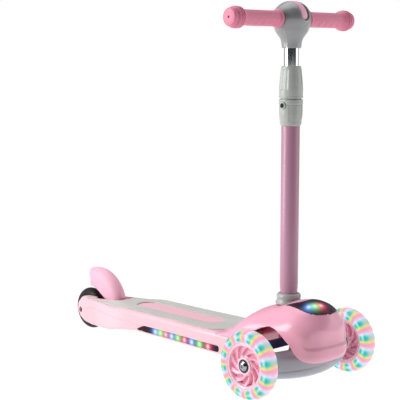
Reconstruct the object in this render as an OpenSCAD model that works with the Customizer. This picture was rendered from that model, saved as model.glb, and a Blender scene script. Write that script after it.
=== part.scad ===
// Three-wheeled kick scooter that leans to steer.
// Millimetres, +Z up, the rider faces -Y and the rider's right hand is on -X.
// The origin is on the ground, under the middle of the object.

/* [Wheels] */
// Diameter of each front wheel
front_wheel_d = 110; // [90:1:132]
// Width of each front tyre
front_tyre_w = 27; // [22:1:32]
// Diameter of the front hub's rim, where the tyre sits
front_rim_d = 73; // [62:1:80]
// Distance between the middle planes of the front wheels
track = 240; // [228:1:300]
// Diameter of the rear wheel
rear_wheel_d = 80; // [68:1:96]
// Width of the rear tyre
rear_tyre_w = 24; // [20:1:26]
// Distance between the front and the rear axle
wheelbase = 552; // [460:1:680]

/* [Bearings and axles] */
// Outer diameter of a wheel bearing
bearing_d = 22; // [19:1:26]
// Width of a wheel bearing
bearing_w = 7; // [5:1:8]
// Nominal diameter of the axles
axle_d = 8; // [6:1:10]
// Radial clearance of a running fit
run_fit = 0.05; // [0.02:0.01:0.1]
// Gap between parts that pass each other
gap = 0.4; // [0.3:0.1:1]

/* [Deck] */
// Height of the deck's top above the front axle
deck_rise = 19; // [10:1:40]
// Half width of the deck at its waist
deck_half_w = 57; // [52:1:70]
// Half width of the deck behind the front cover
deck_front_half_w = 61; // [55:1:72]
// Half width across the rear fork
fork_half_w = 29; // [26:1:36]
// Wall thickness of the mouldings
wall = 3; // [2:0.5:4]
// Height of the deck's sides
deck_side_h = 36; // [30:1:44]
// Width of the pink side left outside the mat
mat_margin = 8; // [5:1:14]
// Thickness of the foot mat
mat_t = 3; // [2:0.5:4]
// Half width of the panel in the mat
panel_half_w = 21; // [14:1:28]
// Height of the side light strips
strip_h = 11; // [8:1:14]
// Number of lamps in each side strip
strip_lamps = 9; // [5:1:13]

/* [Front] */
// Distance from the front axle to the tip of the nose
nose_over = 71.5; // [64:0.5:90]
// Distance from the front axle back to the stem
stem_back = 26.5; // [24:0.5:34]
// Half width of the front cover
cover_half_w = 62; // [56:1:70]
// Height of the front cover's crest above the front axle
crest_rise = 90; // [84:1:100]
// Height of the lean pivot above the front axle
pivot_rise = 39; // [36:1:44]
// Height of the steering link's middle above the front axle
link_rise = 15; // [12:1:17]
// Length of each steering arm
arm_len = 24; // [22:1:30]
// Distance from a wheel's middle plane to its kingpin
kingpin_inset = 32; // [30:1:40]

/* [Stem] */
// Outer diameter of the outer stem tube
stem_tube_d = 30; // [25:1:36]
// Outer diameter of the sliding chrome tube
inner_tube_d = 23.7; // [19:0.1:24]
// Wall thickness of the stem tubes
tube_wall = 1.5; // [1:0.25:2]
// Height of the handlebar's axis at its lowest setting
bar_z = 595; // [520:1:720]
// Length of chrome tube seen below the handlebar hub
chrome_len = 28.5; // [20:0.5:60]
// Travel of the height adjustment
height_travel = 130; // [60:5:150]
// Height of the twist collar
twist_h = 51.5; // [42:0.5:62]
// Height of the lower collar
lower_collar_h = 42.5; // [36:0.5:52]
// Thickness added by the collars at their widest
collar_grow = 4.75; // [4:0.25:7]
// Diameter of the button in the lower collar
button_d = 7.2; // [6:0.1:8]
// Travel of the button
button_travel = 3; // [2:0.5:3]

/* [Handlebar] */
// Width of the handlebar over its ends
bar_w = 285; // [240:1:340]
// Diameter of the tube inside the handlebar
crossbar_d = 22; // [19:1:24]
// Diameter of the grips
grip_d = 24.7; // [23:0.1:28]
// Diameter of the flange at the end of each grip
flange_d = 34.5; // [30:0.5:42]
// Diameter of the round hub in the middle
hub_d = 63; // [54:1:72]

/* [Rear brake] */
// Radius of the fender's back, seen from the side
fender_r = 74; // [70:1:80]
// Half width of the fender
fender_half_w = 18; // [15:1:21]
// Gap between the fender's rib and the wheel
brake_gap = 7; // [5:0.5:8]

/* [Hidden] */
$fn = 64;

// Colours
pink = [0.96, 0.66, 0.75];
deep_pink = [0.90, 0.42, 0.55];
mauve = [0.80, 0.54, 0.66];
mat_grey = [0.76, 0.76, 0.73];
light_grey = [0.82, 0.82, 0.82];
smoke = [0.12, 0.08, 0.14];
steel = [0.78, 0.79, 0.82];

// Main places
half_len = (wheelbase + nose_over + rear_wheel_d / 2) / 2;
front_y = -half_len + nose_over;
rear_y = half_len - rear_wheel_d / 2;
stem_y = front_y + stem_back;
front_z = front_wheel_d / 2;
rear_z = rear_wheel_d / 2;
wheel_x = track / 2;
king_x = wheel_x - kingpin_inset;
axle_r = axle_d / 2 - run_fit;

// Deck
deck_top = front_z + deck_rise;
rim_z = deck_top - 1;
bed_z = deck_top - mat_t;
deck_bottom = rim_z - deck_side_h;
belly_z = deck_bottom - 17;
deck_front = stem_y + 48;
cavity_front = deck_front + 14;
base_back = rear_y - 206;
cavity_back = rear_y - 118;
cover_back = stem_y + 116;
mat_front = cover_back + 1;
prong_back = rear_y - 33;
strip_front = stem_y + 102;
strip_back = rear_y - 200;
strip_mid_z = deck_bottom + 2.5 + strip_h / 2;
slot_half_w = rear_tyre_w / 2 + 3;
slot_front = rear_y - rear_z - 14;
hinge_y = rear_y - 86;
hinge_z = deck_top - 11;
hinge_pocket = 18;

// Front mechanism
pivot_z = front_z + pivot_rise;
link_z = front_z + link_rise;
link_y = front_y + arm_len;
plate_z = pivot_z + 12;
plate_t = 6;
socket_z = front_z + 78;
king_top = front_z + 12;
ring_h = 17;
crest_z = front_z + crest_rise;

// Stem, from the handlebar down
hub_bottom = bar_z - 46;
twist_top = hub_bottom - chrome_len;
twist_bottom = twist_top - twist_h;
lower_top = twist_bottom - 2;
lower_bottom = lower_top - lower_collar_h;
tube_top = lower_top - 1.5;
tube_bottom = plate_z + 2;
stem_r = stem_tube_d / 2;
ring_r = stem_r + 7;
stem_bore_r = stem_r - tube_wall;
inner_r = inner_tube_d / 2;
neck_r = stem_r + 2;
collar_r = stem_r + collar_grow;
sleeve_bottom = lower_bottom - 5;
foot_h = 17;
foot_top = sleeve_bottom - height_travel - 15;
button_z = lower_top - 9.5;
nose_r = 2;
crossbar_r = crossbar_d / 2;
hub_r = hub_d / 2;

// Rear brake: the fender's arc in the side view
arc_y = rear_y - 26;
arc_z = rear_z + 11;
rub_y = rear_y - 12;

// Sizes of the hidden parts
cell_r = 5.25;
cell_len = 44.5;
battery_y = (cavity_front + base_back) / 2 + 20;
lamp_z = crest_z - 12;
drive_r = 3.5;
hub_half_w = 12;
spokes = 10;
led_ring_w = 8;
rear_hub_r = 24;
screw_r = 2.4;
screw_z = hub_bottom + 10;

// Half width of the deck along Y, eased between stations
deck_stations = [
    [deck_front - 1, deck_front_half_w - 10],
    [deck_front + 26, deck_front_half_w],
    [stem_y + 130, deck_front_half_w],
    [(stem_y + rear_y) / 2, deck_half_w],
    [rear_y - 190, deck_half_w],
    [rear_y - 40, fork_half_w + 3],
    [rear_y + 40, fork_half_w - 2]
];
function ease(a, b, t) = a + (b - a) * (3 * t * t - 2 * t * t * t);
function half_w(y, i = 0) =
    i >= len(deck_stations) - 2 || y <= deck_stations[i + 1][0]
    ? ease(deck_stations[i][1], deck_stations[i + 1][1],
        max(0, min(1, (y - deck_stations[i][0]) / (deck_stations[i + 1][0] - deck_stations[i][0]))))
    : half_w(y, i + 1);

// A band along Y that follows the deck's width, less a margin
module deck_plan(y0, y1, margin, steps = 28) {
    ys = [for (i = [0:steps]) y0 + (y1 - y0) * i / steps];
    polygon(concat([for (y = ys) [half_w(y) - margin, y]],
        [for (i = [steps:-1:0]) [margin - half_w(ys[i]), ys[i]]]));
}

// Extrude a side view (Y, Z) across X, centred
module across(w) {
    rotate([90, 0, 90])
        linear_extrude(height = w, center = true)
            children();
}

// A cylinder along X between two places
module rod_x(x0, x1, r, y, z) {
    translate([min(x0, x1), y, z])
        rotate([0, 90, 0])
            cylinder(h = abs(x1 - x0), r = r);
}

// A cylinder along Y between two places
module rod_y(y0, y1, r, x, z) {
    translate([x, y1, z])
        rotate([90, 0, 0])
            cylinder(h = y1 - y0, r = r);
}

// A box between two corners
module block(lo, hi) {
    translate(lo)
        cube(hi - lo);
}

// A turned shape about the X axis, drawn as (radius, X) and given a place
module turned_x(y, z) {
    translate([0, y, z])
        rotate([0, 90, 0])
            rotate_extrude($fn = 96)
                children();
}

// Deck -------------------------------------------------------------------

// Side view of the deck's moulding
module deck_side_view(inset = 0) {
    polygon([
        [deck_front + inset, deck_bottom + 8],
        [deck_front + 10 + inset, deck_bottom + inset],
        [strip_back, deck_bottom + inset],
        [rear_y - 124, belly_z + 4 + inset],
        [rear_y - 98, belly_z - 2 + inset],
        [rear_y - 60, belly_z - 6 + inset],
        [rear_y - 36, belly_z - 6 + inset],
        [rear_y - 12, belly_z - 1 + inset],
        [rear_y + 3, belly_z + 7 + inset],
        [rear_y - 2, rear_z + 24],
        [rear_y - 20, rim_z - 1 - inset],
        [prong_back + 2, rim_z - inset],
        [deck_front + inset, rim_z - inset]
    ]);
    translate([rear_y - 6.5, rear_z + 7])
        circle(r = 20 - inset);
}

module deck_cavity() {
    intersection() {
        translate([0, 0, -1])
            linear_extrude(height = bed_z - wall + 1)
                deck_plan(cavity_front, cavity_back, wall);
        union() {
            across(2 * deck_front_half_w)
                deck_side_view(wall);
            block([-80, cavity_front, 0], [80, base_back, deck_bottom + wall + 1]);
        }
    }
}

module strip_pocket(side, depth, grow) {
    // Follows the deck's side, so it is cut as a band of the plan
    intersection() {
        difference() {
            linear_extrude(height = rim_z)
                deck_plan(strip_front - grow, strip_back + grow, -1);
            translate([0, 0, -1])
                linear_extrude(height = rim_z + 2)
                    deck_plan(strip_front - 9, strip_back + 9, depth);
        }
        across(4 * deck_front_half_w)
            strip_outline(grow);
        translate([side > 0 ? 0 : -100, -500, 0])
            cube([100, 1000, 200]);
    }
}

// Side view of a light strip: pointed at the back, round at the front
module strip_outline(grow) {
    r = strip_h / 2 + grow;
    translate([strip_front + r - grow, strip_mid_z])
        circle(r = r);
    polygon([
        [strip_front + r - grow, strip_mid_z - r],
        [strip_back - 30, strip_mid_z - r],
        [strip_back + grow, strip_mid_z - r + 1],
        [strip_back - 26, strip_mid_z + r],
        [strip_front + r - grow, strip_mid_z + r]
    ]);
}

module strip_lens(side) {
    intersection() {
        strip_pocket(side, wall - 1, -0.1);
        linear_extrude(height = rim_z)
            deck_plan(strip_front - 9, strip_back + 9, 0);
    }
}

module strip_lamp_places() {
    for (i = [0:strip_lamps - 1])
        translate([0, strip_front + 24 + i * (strip_back - strip_front - 76) / (strip_lamps - 1), 0])
            children();
}

module strip_lamps(side) {
    // Small domes that look out through the lens from its back
    strip_lamp_places()
        translate([side * (deck_half_w - wall - 2.4), 0, strip_mid_z])
            rotate([0, side * 90, 0])
                cylinder(h = 1.8, r = 2.2, $fn = 24);
}

module deck_shell() {
    color(pink)
        difference() {
            intersection() {
                linear_extrude(height = rim_z)
                    deck_plan(deck_front, rear_y + 40, 0);
                across(2 * deck_front_half_w + 2)
                    deck_side_view();
            }
            deck_cavity();
            // recess for the mat
            translate([0, 0, bed_z])
                linear_extrude(height = 10)
                    mat_plan(0.2);
            // slot for the rear wheel and pocket for the fender's hinge
            block([-slot_half_w, slot_front, 0], [slot_half_w, rear_y + 60, 200]);
            block([-fender_half_w - 1.5, hinge_y - hinge_pocket, hinge_z - 13],
                [fender_half_w + 1.5, rear_y - 22, 200]);
            for (side = [-1, 1]) {
                strip_pocket(side, wall - 1, 0);
                strip_lamp_places()
                    rod_x(side * 40, side * 70, 2.6, 0, strip_mid_z);
            }
            rod_x(-80, 80, axle_d / 2, rear_y, rear_z);
            for (side = [-1, 1])
                rod_x(side * (fork_half_w - 5), side * 60, 8, rear_y, rear_z);
            rod_x(-fender_half_w - 12, fender_half_w + 12, 3, hinge_y, hinge_z);
            deck_screw_places()
                cylinder(h = 14, r = 1.6, $fn = 24);
        }
}

module deck_screw_places() {
    for (side = [-1, 1])
        for (y = [cavity_front + 7, base_back - 7])
            translate([side * (deck_half_w - 22), y, deck_bottom + 1.5])
                children();
}

// The posts that take the screws of the base
module deck_posts() {
    deck_screw_places()
        translate([0, 0, 1.5])
            cylinder(h = bed_z - deck_bottom - wall - 3, r = 4, $fn = 32);
}

module deck_base() {
    color(deep_pink)
        difference() {
            union() {
                intersection() {
                    translate([0, 0, deck_bottom])
                        linear_extrude(height = wall)
                            deck_plan(cavity_front + gap, base_back - gap, wall + 0.3);
                    block([-80, cavity_front, deck_bottom], [80, base_back, deck_bottom + wall]);
                }
                deck_posts();
            }
            translate([0, battery_y, 0])
                block([-38, -31, 0], [38, 31, deck_bottom + wall + 1]);
            deck_screw_places() {
                translate([0, 0, -2])
                    cylinder(h = 20, r = 1.6, $fn = 24);
                translate([0, 0, -2])
                    cylinder(h = 2.6, r = 3.2, $fn = 24);
            }
        }
}

module deck_screws() {
    color(steel)
        deck_screw_places() {
            translate([0, 0, -1.2])
                cylinder(h = 1.8, r = 3.1, $fn = 24);
            cylinder(h = 13, r = 1.6, $fn = 24);
        }
}

// Outline of the mat, with its slot for the fender at the back
module mat_plan(grow) {
    difference() {
        union() {
            deck_plan(mat_front - grow, rear_y - 62 + grow, mat_margin - grow);
            // prongs beside the fender
            for (side = [-1, 1])
                polygon([
                    [0, rear_y - 62],
                    [side * (half_w(rear_y - 62) - mat_margin + grow), rear_y - 62],
                    [side * (half_w(prong_back) - mat_margin / 2 + grow), prong_back + grow],
                    [0, prong_back + grow]
                ]);
        }
        translate([-fender_half_w - 3 + grow, hinge_y - hinge_pocket - 4 + grow])
            square([2 * (fender_half_w + 3 - grow), 200]);
        for (side = [-1, 1])
            translate([side * deck_front_half_w, mat_front - 6])
                rotate(45)
                    square(46, center = true);
    }
}

module panel_plan(grow) {
    y0 = stem_y + 158 + panel_half_w;
    y1 = rear_y - 150 - panel_half_w;
    for (y = [y0, y1])
        translate([0, y])
            circle(r = panel_half_w + grow);
    translate([-panel_half_w - grow, y0])
        square([2 * (panel_half_w + grow), y1 - y0]);
}

module foot_mat() {
    color(mat_grey)
        translate([0, 0, bed_z])
            linear_extrude(height = mat_t)
                difference() {
                    mat_plan(0);
                    panel_plan(0);
                }
}

module mat_panel() {
    color(pink)
        translate([0, 0, bed_z])
            linear_extrude(height = mat_t - 2)
                panel_plan(-0.1);
}

module side_lens_right() {
    color(smoke)
        strip_lens(-1);
}

module side_lens_left() {
    color(smoke)
        strip_lens(1);
}

module side_leds_right() {
    color("white")
        strip_lamps(-1);
}

module side_leds_left() {
    color("white")
        strip_lamps(1);
}

module side_boards() {
    color("darkgreen")
        for (side = [-1, 1])
            block([min(side * (deck_half_w - wall - 4), side * (deck_half_w - wall - 2.4)),
                    strip_front + 8, strip_mid_z - 4],
                [max(side * (deck_half_w - wall - 4), side * (deck_half_w - wall - 2.4)),
                    strip_back - 30, strip_mid_z + 4]);
}

module battery_box() {
    color([0.2, 0.2, 0.22])
        translate([0, battery_y, deck_bottom + wall])
            difference() {
                block([-32, -26, 0.2], [32, 26, 19]);
                block([-29, -24, -1], [29, 24, 17]);
            }
}

module battery_cells() {
    color("silver")
        for (i = [-1, 0, 1])
            translate([i * 15, battery_y + cell_len / 2, deck_bottom + wall + 10])
                rotate([90, 0, 0])
                    cylinder(h = cell_len, r = cell_r, $fn = 32);
}

module battery_cover() {
    color(deep_pink)
        translate([0, battery_y, 0])
            block([-38 + 0.3, -31 + 0.3, deck_bottom], [38 - 0.3, 31 - 0.3, deck_bottom + wall]);
}

// Front cover --------------------------------------------------------------

// Top line of the cover in the side view, from the mat over the crest to the chin
function cover_top(d = 0) = [
    [cover_back, deck_top + 0.3],
    [cover_back - 10, deck_top + 5 - d],
    [stem_y + 94, deck_top + 11 - d],
    [stem_y + 75, crest_z - 49 - d],
    [stem_y + 59, crest_z - 36 - d],
    [stem_y + 43, crest_z - 26 - d],
    [stem_y + 24, crest_z - 18 - d],
    [stem_y, crest_z - 11 - d],
    [stem_y - 25, crest_z - 4 - d],
    [stem_y - 48, crest_z - d],
    [stem_y - 66, crest_z - 2 - d],
    [stem_y - 80, crest_z - 8 - d],
    [stem_y - 90 + d / 2, crest_z - 17 - d / 2],
    [front_y - nose_over + 3 + d, crest_z - 29],
    [front_y - nose_over + d, crest_z - 44],
    [front_y - nose_over + 0.3 + d, crest_z - 76],
    [front_y - nose_over + 4 + d, crest_z - 86],
    [front_y - nose_over + 11 + d, crest_z - 90]
];

// Lower edge of the cover: the wheel arch, from the chin back to the deck
arch_line = [
    [front_y - 52, front_z + 2],
    [front_y - 44, front_z + 7],
    [front_y - 34, front_z + 20],
    [front_y - 18, front_z + 31],
    [front_y - 2, front_z + 41],
    [front_y + 10, front_z + 46],
    [front_y + 22, front_z + 47],
    [front_y + 36, front_z + 43],
    [front_y + 50, front_z + 36],
    [front_y + 62, front_z + 27],
    [stem_y + 47, deck_top + 0.3]
];

// Plan of the cover: a round nose that widens to the deck
module cover_plan(inset) {
    nose_len = 74;
    y_wide = front_y - nose_over + nose_len;
    a = cover_half_w - inset;
    translate([0, y_wide])
        intersection() {
            scale_circle(a, nose_len - inset);
            translate([-100, -100])
                square([200, 100]);
        }
    translate([-a, y_wide])
        square([2 * a, cover_back - y_wide]);
}

// An upright half oval as a polygon
module scale_circle(a, b) {
    polygon([for (t = [0:6:354]) [a * sign(cos(t)) * pow(abs(cos(t)), 0.85), b * sin(t)]]);
}

// Front view (X, Z) of the cover: a dome
module cover_front_view(inset) {
    a = cover_half_w - inset;
    shoulder = crest_z - 62;
    polygon(concat([[a, -10]],
        [for (t = [0:6:180]) [a * cos(t), shoulder + (62 - inset + 1) * pow(sin(t), 0.8)]],
        [[-a, -10]]));
}

module cover_body(inset) {
    intersection() {
        across(2 * cover_half_w + 2)
            polygon(concat(cover_top(inset), inset > 0
                ? [[front_y - 40, 0], [cover_back, 0]] : arch_line));
        linear_extrude(height = crest_z + 20)
            cover_plan(inset);
        translate([0, stem_y + 200, 0])
            rotate([90, 0, 0])
                linear_extrude(height = 400)
                    cover_front_view(inset);
    }
}

// Plan of the lamp window: a wide shield, hollow towards the stem
module window_plan(grow) {
    difference() {
        translate([0, stem_y - 52])
            polygon([for (t = [0:10:350]) [(33 + grow) * cos(t), (34 + grow) * sin(t) * (sin(t) < 0 ? 1 : 0.95)]]);
        translate([0, stem_y])
            circle(r = 31 - grow);
    }
}

module front_cover() {
    color(pink)
        difference() {
            cover_body(0);
            cover_body(wall);
            translate([0, 0, pivot_z])
                linear_extrude(height = 100)
                    window_plan(0);
            // hole for the socket and a seat for its ring
            translate([0, stem_y, pivot_z])
                cylinder(h = 100, r = stem_r + 3 + gap);
            translate([0, stem_y, socket_z])
                cylinder(h = 60, r = ring_r + 0.1);
        }
}

module lamp_window() {
    color(smoke)
        intersection() {
            difference() {
                cover_body(0);
                translate([0, 0, 1.5])
                    cover_body(wall);
            }
            translate([0, 0, pivot_z])
                linear_extrude(height = 100)
                    window_plan(-0.15);
        }
}

module lamp_leds() {
    color("white")
        for (x = [-12, 0, 12])
            translate([x, stem_y - 54, lamp_z])
                cylinder(h = 3.5, r = 2.5, $fn = 32);
}

module lamp_board() {
    color("darkgreen")
        block([-20, stem_y - 62, lamp_z - 1.6], [20, stem_y - 46, lamp_z]);
}

// Front mechanism ------------------------------------------------------------

module stem_socket() {
    color(light_grey)
        difference() {
            union() {
                translate([0, stem_y, plate_z + plate_t])
                    cylinder(h = socket_z - plate_z - plate_t + 2, r = stem_r + 3);
                translate([0, stem_y, socket_z])
                    rotate_extrude()
                        polygon([[stem_r - 1, 0], [ring_r, 0], [ring_r - 0.5, 5], [stem_r + 4.5, 9],
                            [stem_r + 4.5, 12], [stem_r + 3, 15], [stem_r + 1, ring_h], [stem_r - 1, ring_h]]);
            }
            translate([0, stem_y, plate_z])
                cylinder(h = 100, r = stem_r);
        }
}

// The carrier: plate under the socket, leg down to the deck, lugs for the lean pivot
module front_frame() {
    lug_front = front_y - 19;
    lug_back = link_y + 12;
    color(deep_pink)
        difference() {
            union() {
                across(44)
                    polygon([
                        [lug_front, plate_z], [lug_front, plate_z + plate_t],
                        [stem_y + 32, plate_z + plate_t], [stem_y + 78, deck_top + 6],
                        [stem_y + 94, deck_top + 6], [stem_y + 94, deck_top + 0.2],
                        [stem_y + 70, deck_top + 0.2], [stem_y + 28, plate_z]
                    ]);
                for (y = [lug_front, lug_back]) {
                    rod_y(y, y + 6, 11, 0, pivot_z);
                    block([-11, y, pivot_z], [11, y + 6, plate_z + 1]);
                }
                // finger that carries the drive pin down to the link
                block([-7, lug_back, link_z], [7, lug_back + 6, pivot_z]);
                rod_y(lug_back, lug_back + 6, 7, 0, link_z);
                rod_y(link_y - 4, lug_back + 3, drive_r, 0, link_z);
            }
            rod_y(lug_front - 5, lug_back + 10, axle_d / 2, 0, pivot_z);
            translate([0, stem_y, plate_z + 2])
                cylinder(h = 40, r = stem_r);
        }
}

module lean_pivot() {
    y0 = front_y - 19;
    y1 = link_y + 18;
    color(steel) {
        rod_y(y0, y1, axle_d / 2, 0, pivot_z);
        rod_y(y0 - 4, y0, 6.5, 0, pivot_z);
        rod_y(y1, y1 + 5, 7.5, 0, pivot_z, $fn = 6);
    }
}

module lean_bush() {
    color([0.25, 0.25, 0.26])
        difference() {
            rod_y(front_y - 12.6, link_y + 11.6, 7, 0, pivot_z);
            rod_y(front_y - 20, link_y + 20, axle_d / 2 + run_fit, 0, pivot_z);
        }
}

// Bow in plan, arch in the front view
module front_axle_beam() {
    half = king_x + 10;
    xs = [for (i = [-10:10]) i / 10];
    color(light_grey)
        difference() {
            union() {
                intersection() {
                    translate([0, 0, front_z - 40])
                        linear_extrude(height = 60)
                            polygon(concat([for (u = xs) [u * half, front_y - 36 + 20 * u * u]],
                                [for (u = xs) [-u * half, front_y + 14 - 3 * u * u]]));
                    translate([0, front_y + 60, 0])
                        rotate([90, 0, 0])
                            linear_extrude(height = 120)
                                polygon(concat([for (u = xs) [u * half, front_z - 33 + 8 * u * u]],
                                    [for (u = xs) [-u * half, front_z + 5 + 9 * u * u]]));
                }
                // riser and its cross tube for the lean pivot
                block([-13, front_y - 12, front_z - 20], [13, front_y + 13, pivot_z]);
                rod_y(front_y - 12.6, link_y + 11.6, 11, 0, pivot_z);
            }
            rod_y(front_y - 30, link_y + 30, 7, 0, pivot_z);
            for (side = [-1, 1]) {
                // mouth for the knuckle
                translate([side * king_x, front_y, front_z])
                    block([-13, -40, -9.3], [30, 40, 9.3]);
                translate([side * king_x, front_y, front_z])
                    block([-30 * (side < 0 ? 1 : 0.43), -40, -9.3], [13, 40, 9.3]);
                translate([side * king_x, front_y, 0])
                    cylinder(h = 200, r = axle_d / 2);
                translate([side * king_x, front_y, king_top])
                    cylinder(h = 50, r = 6.5 + gap);
            }
        }
}

module kingpins() {
    top = king_top;
    color(steel)
        for (side = [-1, 1])
            translate([side * king_x, front_y, 0]) {
                translate([0, 0, front_z - 24])
                    cylinder(h = top - front_z + 24, r = axle_d / 2);
                translate([0, 0, top])
                    cylinder(h = 3, r = 6.5);
            }
}

module knuckle(side) {
    difference() {
        union() {
            translate([side * king_x, front_y, front_z - 9])
                cylinder(h = 18, r = 10);
            rod_x(side * king_x, side * (wheel_x - 15.5), 8.5, front_y, front_z);
            rod_x(side * king_x, side * (wheel_x - hub_half_w - 0.1), 6, front_y, front_z);
            // steering arm and its pin
            block([side * king_x - 6, front_y, front_z + 2], [side * king_x + 6, link_y, link_z - 8]);
            translate([side * king_x, link_y, front_z + 2])
                cylinder(h = link_z - front_z - 10, r = 6);
            translate([side * king_x, link_y, link_z - 9])
                cylinder(h = 11, r = 3);
        }
        translate([side * king_x, front_y, 0])
            cylinder(h = 200, r = axle_d / 2 + run_fit);
        rod_x(side * (king_x + 5), side * 200, axle_r, front_y, front_z);
    }
}

module knuckle_right() {
    color([0.3, 0.3, 0.32])
        knuckle(-1);
}

module knuckle_left() {
    color([0.3, 0.3, 0.32])
        knuckle(1);
}

module steering_link() {
    color([0.10, 0.11, 0.22])
        difference() {
            union() {
                block([-king_x, link_y - 3, link_z - 7], [king_x, link_y + 3, link_z + 7]);
                for (side = [-1, 1])
                    block([side * king_x - 6.5, link_y - 6.5, link_z - 7],
                        [side * king_x + 6.5, link_y + 6.5, link_z + 1]);
            }
            // slot for the drive pin
            block([-drive_r - 0.25, link_y - 10, link_z - 4.6], [drive_r + 0.25, link_y + 10, link_z + 4.6]);
            for (side = [-1, 1]) {
                block([side * king_x - 3.3, link_y - 4.6, link_z - 10],
                    [side * king_x + 3.3, link_y + 4.6, link_z + 10]);
            }
        }
}

module front_axle(side) {
    outer = wheel_x + hub_half_w + 0.2;
    color(steel) {
        rod_x(side * (king_x + 5), side * outer, axle_r, front_y, front_z);
        translate([side * outer, front_y, front_z])
            rotate([0, side * 90, 0])
                rotate_extrude()
                    intersection() {
                        translate([0, -5.5])
                            circle(r = 9.5);
                        square([6, 5]);
                    }
    }
}

module front_axle_right() front_axle(-1);

module front_axle_left() front_axle(1);

module wheel_magnet(side) {
    color("dimgray")
        difference() {
            rod_x(side * (wheel_x - hub_half_w + bearing_w + 0.2),
                side * (wheel_x + hub_half_w - bearing_w - 0.2), 7.5, front_y, front_z);
            rod_x(-200, 200, axle_r, front_y, front_z);
        }
}

module wheel_magnet_right() wheel_magnet(-1);

module wheel_magnet_left() wheel_magnet(1);

// Wheels ---------------------------------------------------------------------

// A bearing ring along X, from x0 over its width
module bearing(x0, y, z) {
    difference() {
        rod_x(x0, x0 + bearing_w, bearing_d / 2, y, z);
        rod_x(x0 - 1, x0 + bearing_w + 1, axle_d / 2, y, z);
        for (x = [x0 - 0.7, x0 + bearing_w - 0.3])
            difference() {
                rod_x(x, x + 1, bearing_d / 2 - 1.8, y, z);
                rod_x(x - 1, x + 2, axle_d / 2 + 1.8, y, z);
            }
    }
}

module front_bearings(side) {
    color("silver")
        for (x0 = [-hub_half_w, hub_half_w - bearing_w])
            bearing(side * wheel_x + x0, front_y, front_z);
}

module front_bearings_right() front_bearings(-1);

module front_bearings_left() front_bearings(1);

module front_hub(side) {
    rim_r = front_rim_d / 2;
    color(pink)
        translate([side * wheel_x, front_y, front_z])
            rotate([0, side * 90, 0]) {
                difference() {
                    union() {
                        translate([0, 0, -hub_half_w])
                            cylinder(h = 2 * hub_half_w, r = bearing_d / 2 + 2.8);
                        // web and curved spokes
                        translate([0, 0, -1.5])
                            cylinder(h = 3, r = rim_r - 2);
                        intersection() {
                            translate([0, 0, -9])
                                linear_extrude(height = 18)
                                    for (i = [0:spokes - 1])
                                        rotate(i * 360 / spokes)
                                            translate([14, 14])
                                                difference() {
                                                    circle(r = 19.5);
                                                    circle(r = 17.3);
                                                    translate([-40, 0])
                                                        square([80, 40]);
                                                    translate([-40, -40])
                                                        square([40, 80]);
                                                }
                            cylinder(h = 40, r = rim_r - 2, center = true);
                        }
                        difference() {
                            translate([0, 0, -hub_half_w])
                                cylinder(h = 2 * hub_half_w, r = rim_r, $fn = 96);
                            translate([0, 0, -hub_half_w - 1])
                                cylinder(h = 2 * hub_half_w + 2, r = rim_r - 4, $fn = 96);
                        }
                    }
                    for (z0 = [-hub_half_w - 1, hub_half_w - bearing_w])
                        translate([0, 0, z0])
                            cylinder(h = bearing_w + 1, r = bearing_d / 2);
                    cylinder(h = 60, r = 9, center = true);
                }
            }
}

module front_hub_right() front_hub(-1);

module front_hub_left() front_hub(1);

module front_tyre(side) {
    tyre_r = front_wheel_d / 2;
    rim_r = front_rim_d / 2;
    w = front_tyre_w / 2;
    color([0.98, 0.75, 0.85, 0.8])
        translate([side * wheel_x, 0, 0])
            turned_x(front_y, front_z)
                difference() {
                    polygon(concat([[rim_r, -w + 2.5], [rim_r + 3, -w]],
                        [for (t = [-90:15:90]) [tyre_r - 9 + 9 * cos(t), (w - 4) * sin(t) + 4 * sin(t)]],
                        [[rim_r + 3, w], [rim_r, w - 2.5]]));
                    translate([rim_r - 1, -led_ring_w / 2 - 0.3])
                        square([9, led_ring_w + 0.6]);
                }
}

module front_tyre_right() front_tyre(-1);

module front_tyre_left() front_tyre(1);

module wheel_leds(side) {
    rim_r = front_rim_d / 2;
    color("white")
        translate([side * wheel_x, front_y, front_z])
            rotate([0, 90, 0]) {
                difference() {
                    cylinder(h = led_ring_w, r = rim_r + 2, center = true, $fn = 96);
                    cylinder(h = 20, r = rim_r, center = true, $fn = 96);
                }
                for (i = [0:11])
                    rotate(i * 30)
                        block([rim_r + 1, -3, -3], [rim_r + 6, 3, 3]);
            }
}

module wheel_leds_right() wheel_leds(-1);

module wheel_leds_left() wheel_leds(1);

module rear_tyre() {
    w = rear_tyre_w / 2;
    shoulder = rear_hub_r + 5;
    color([0.08, 0.08, 0.08])
        turned_x(rear_y, rear_z)
            polygon(concat([[rear_hub_r, -w]],
                [for (t = [-90:10:90]) [shoulder + (rear_z - shoulder) * cos(t), w * sin(t)]],
                [[rear_hub_r, w]]));
}

module rear_hub() {
    color([0.12, 0.12, 0.12])
        difference() {
            rod_x(-rear_tyre_w / 2, rear_tyre_w / 2, rear_hub_r, rear_y, rear_z);
            for (x0 = [-rear_tyre_w / 2 - 1, rear_tyre_w / 2 - bearing_w])
                rod_x(x0, x0 + bearing_w + 1, bearing_d / 2, rear_y, rear_z);
            rod_x(-40, 40, 7, rear_y, rear_z);
            for (side = [-1, 1])
                difference() {
                    rod_x(side * 5, side * 30, rear_hub_r - 2.5, rear_y, rear_z);
                    rod_x(side * 4, side * 31, bearing_d / 2 + 2.5, rear_y, rear_z);
                }
        }
}

module rear_bearings() {
    color("silver")
        for (x0 = [-rear_tyre_w / 2, rear_tyre_w / 2 - bearing_w])
            bearing(x0, rear_y, rear_z);
}

module rear_axle() {
    head = fork_half_w - 5;
    color(steel) {
        rod_x(-head, head, axle_r, rear_y, rear_z);
        for (side = [-1, 1])
            rod_x(side * head, side * (head + 3), 6.5, rear_y, rear_z);
    }
}

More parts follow.
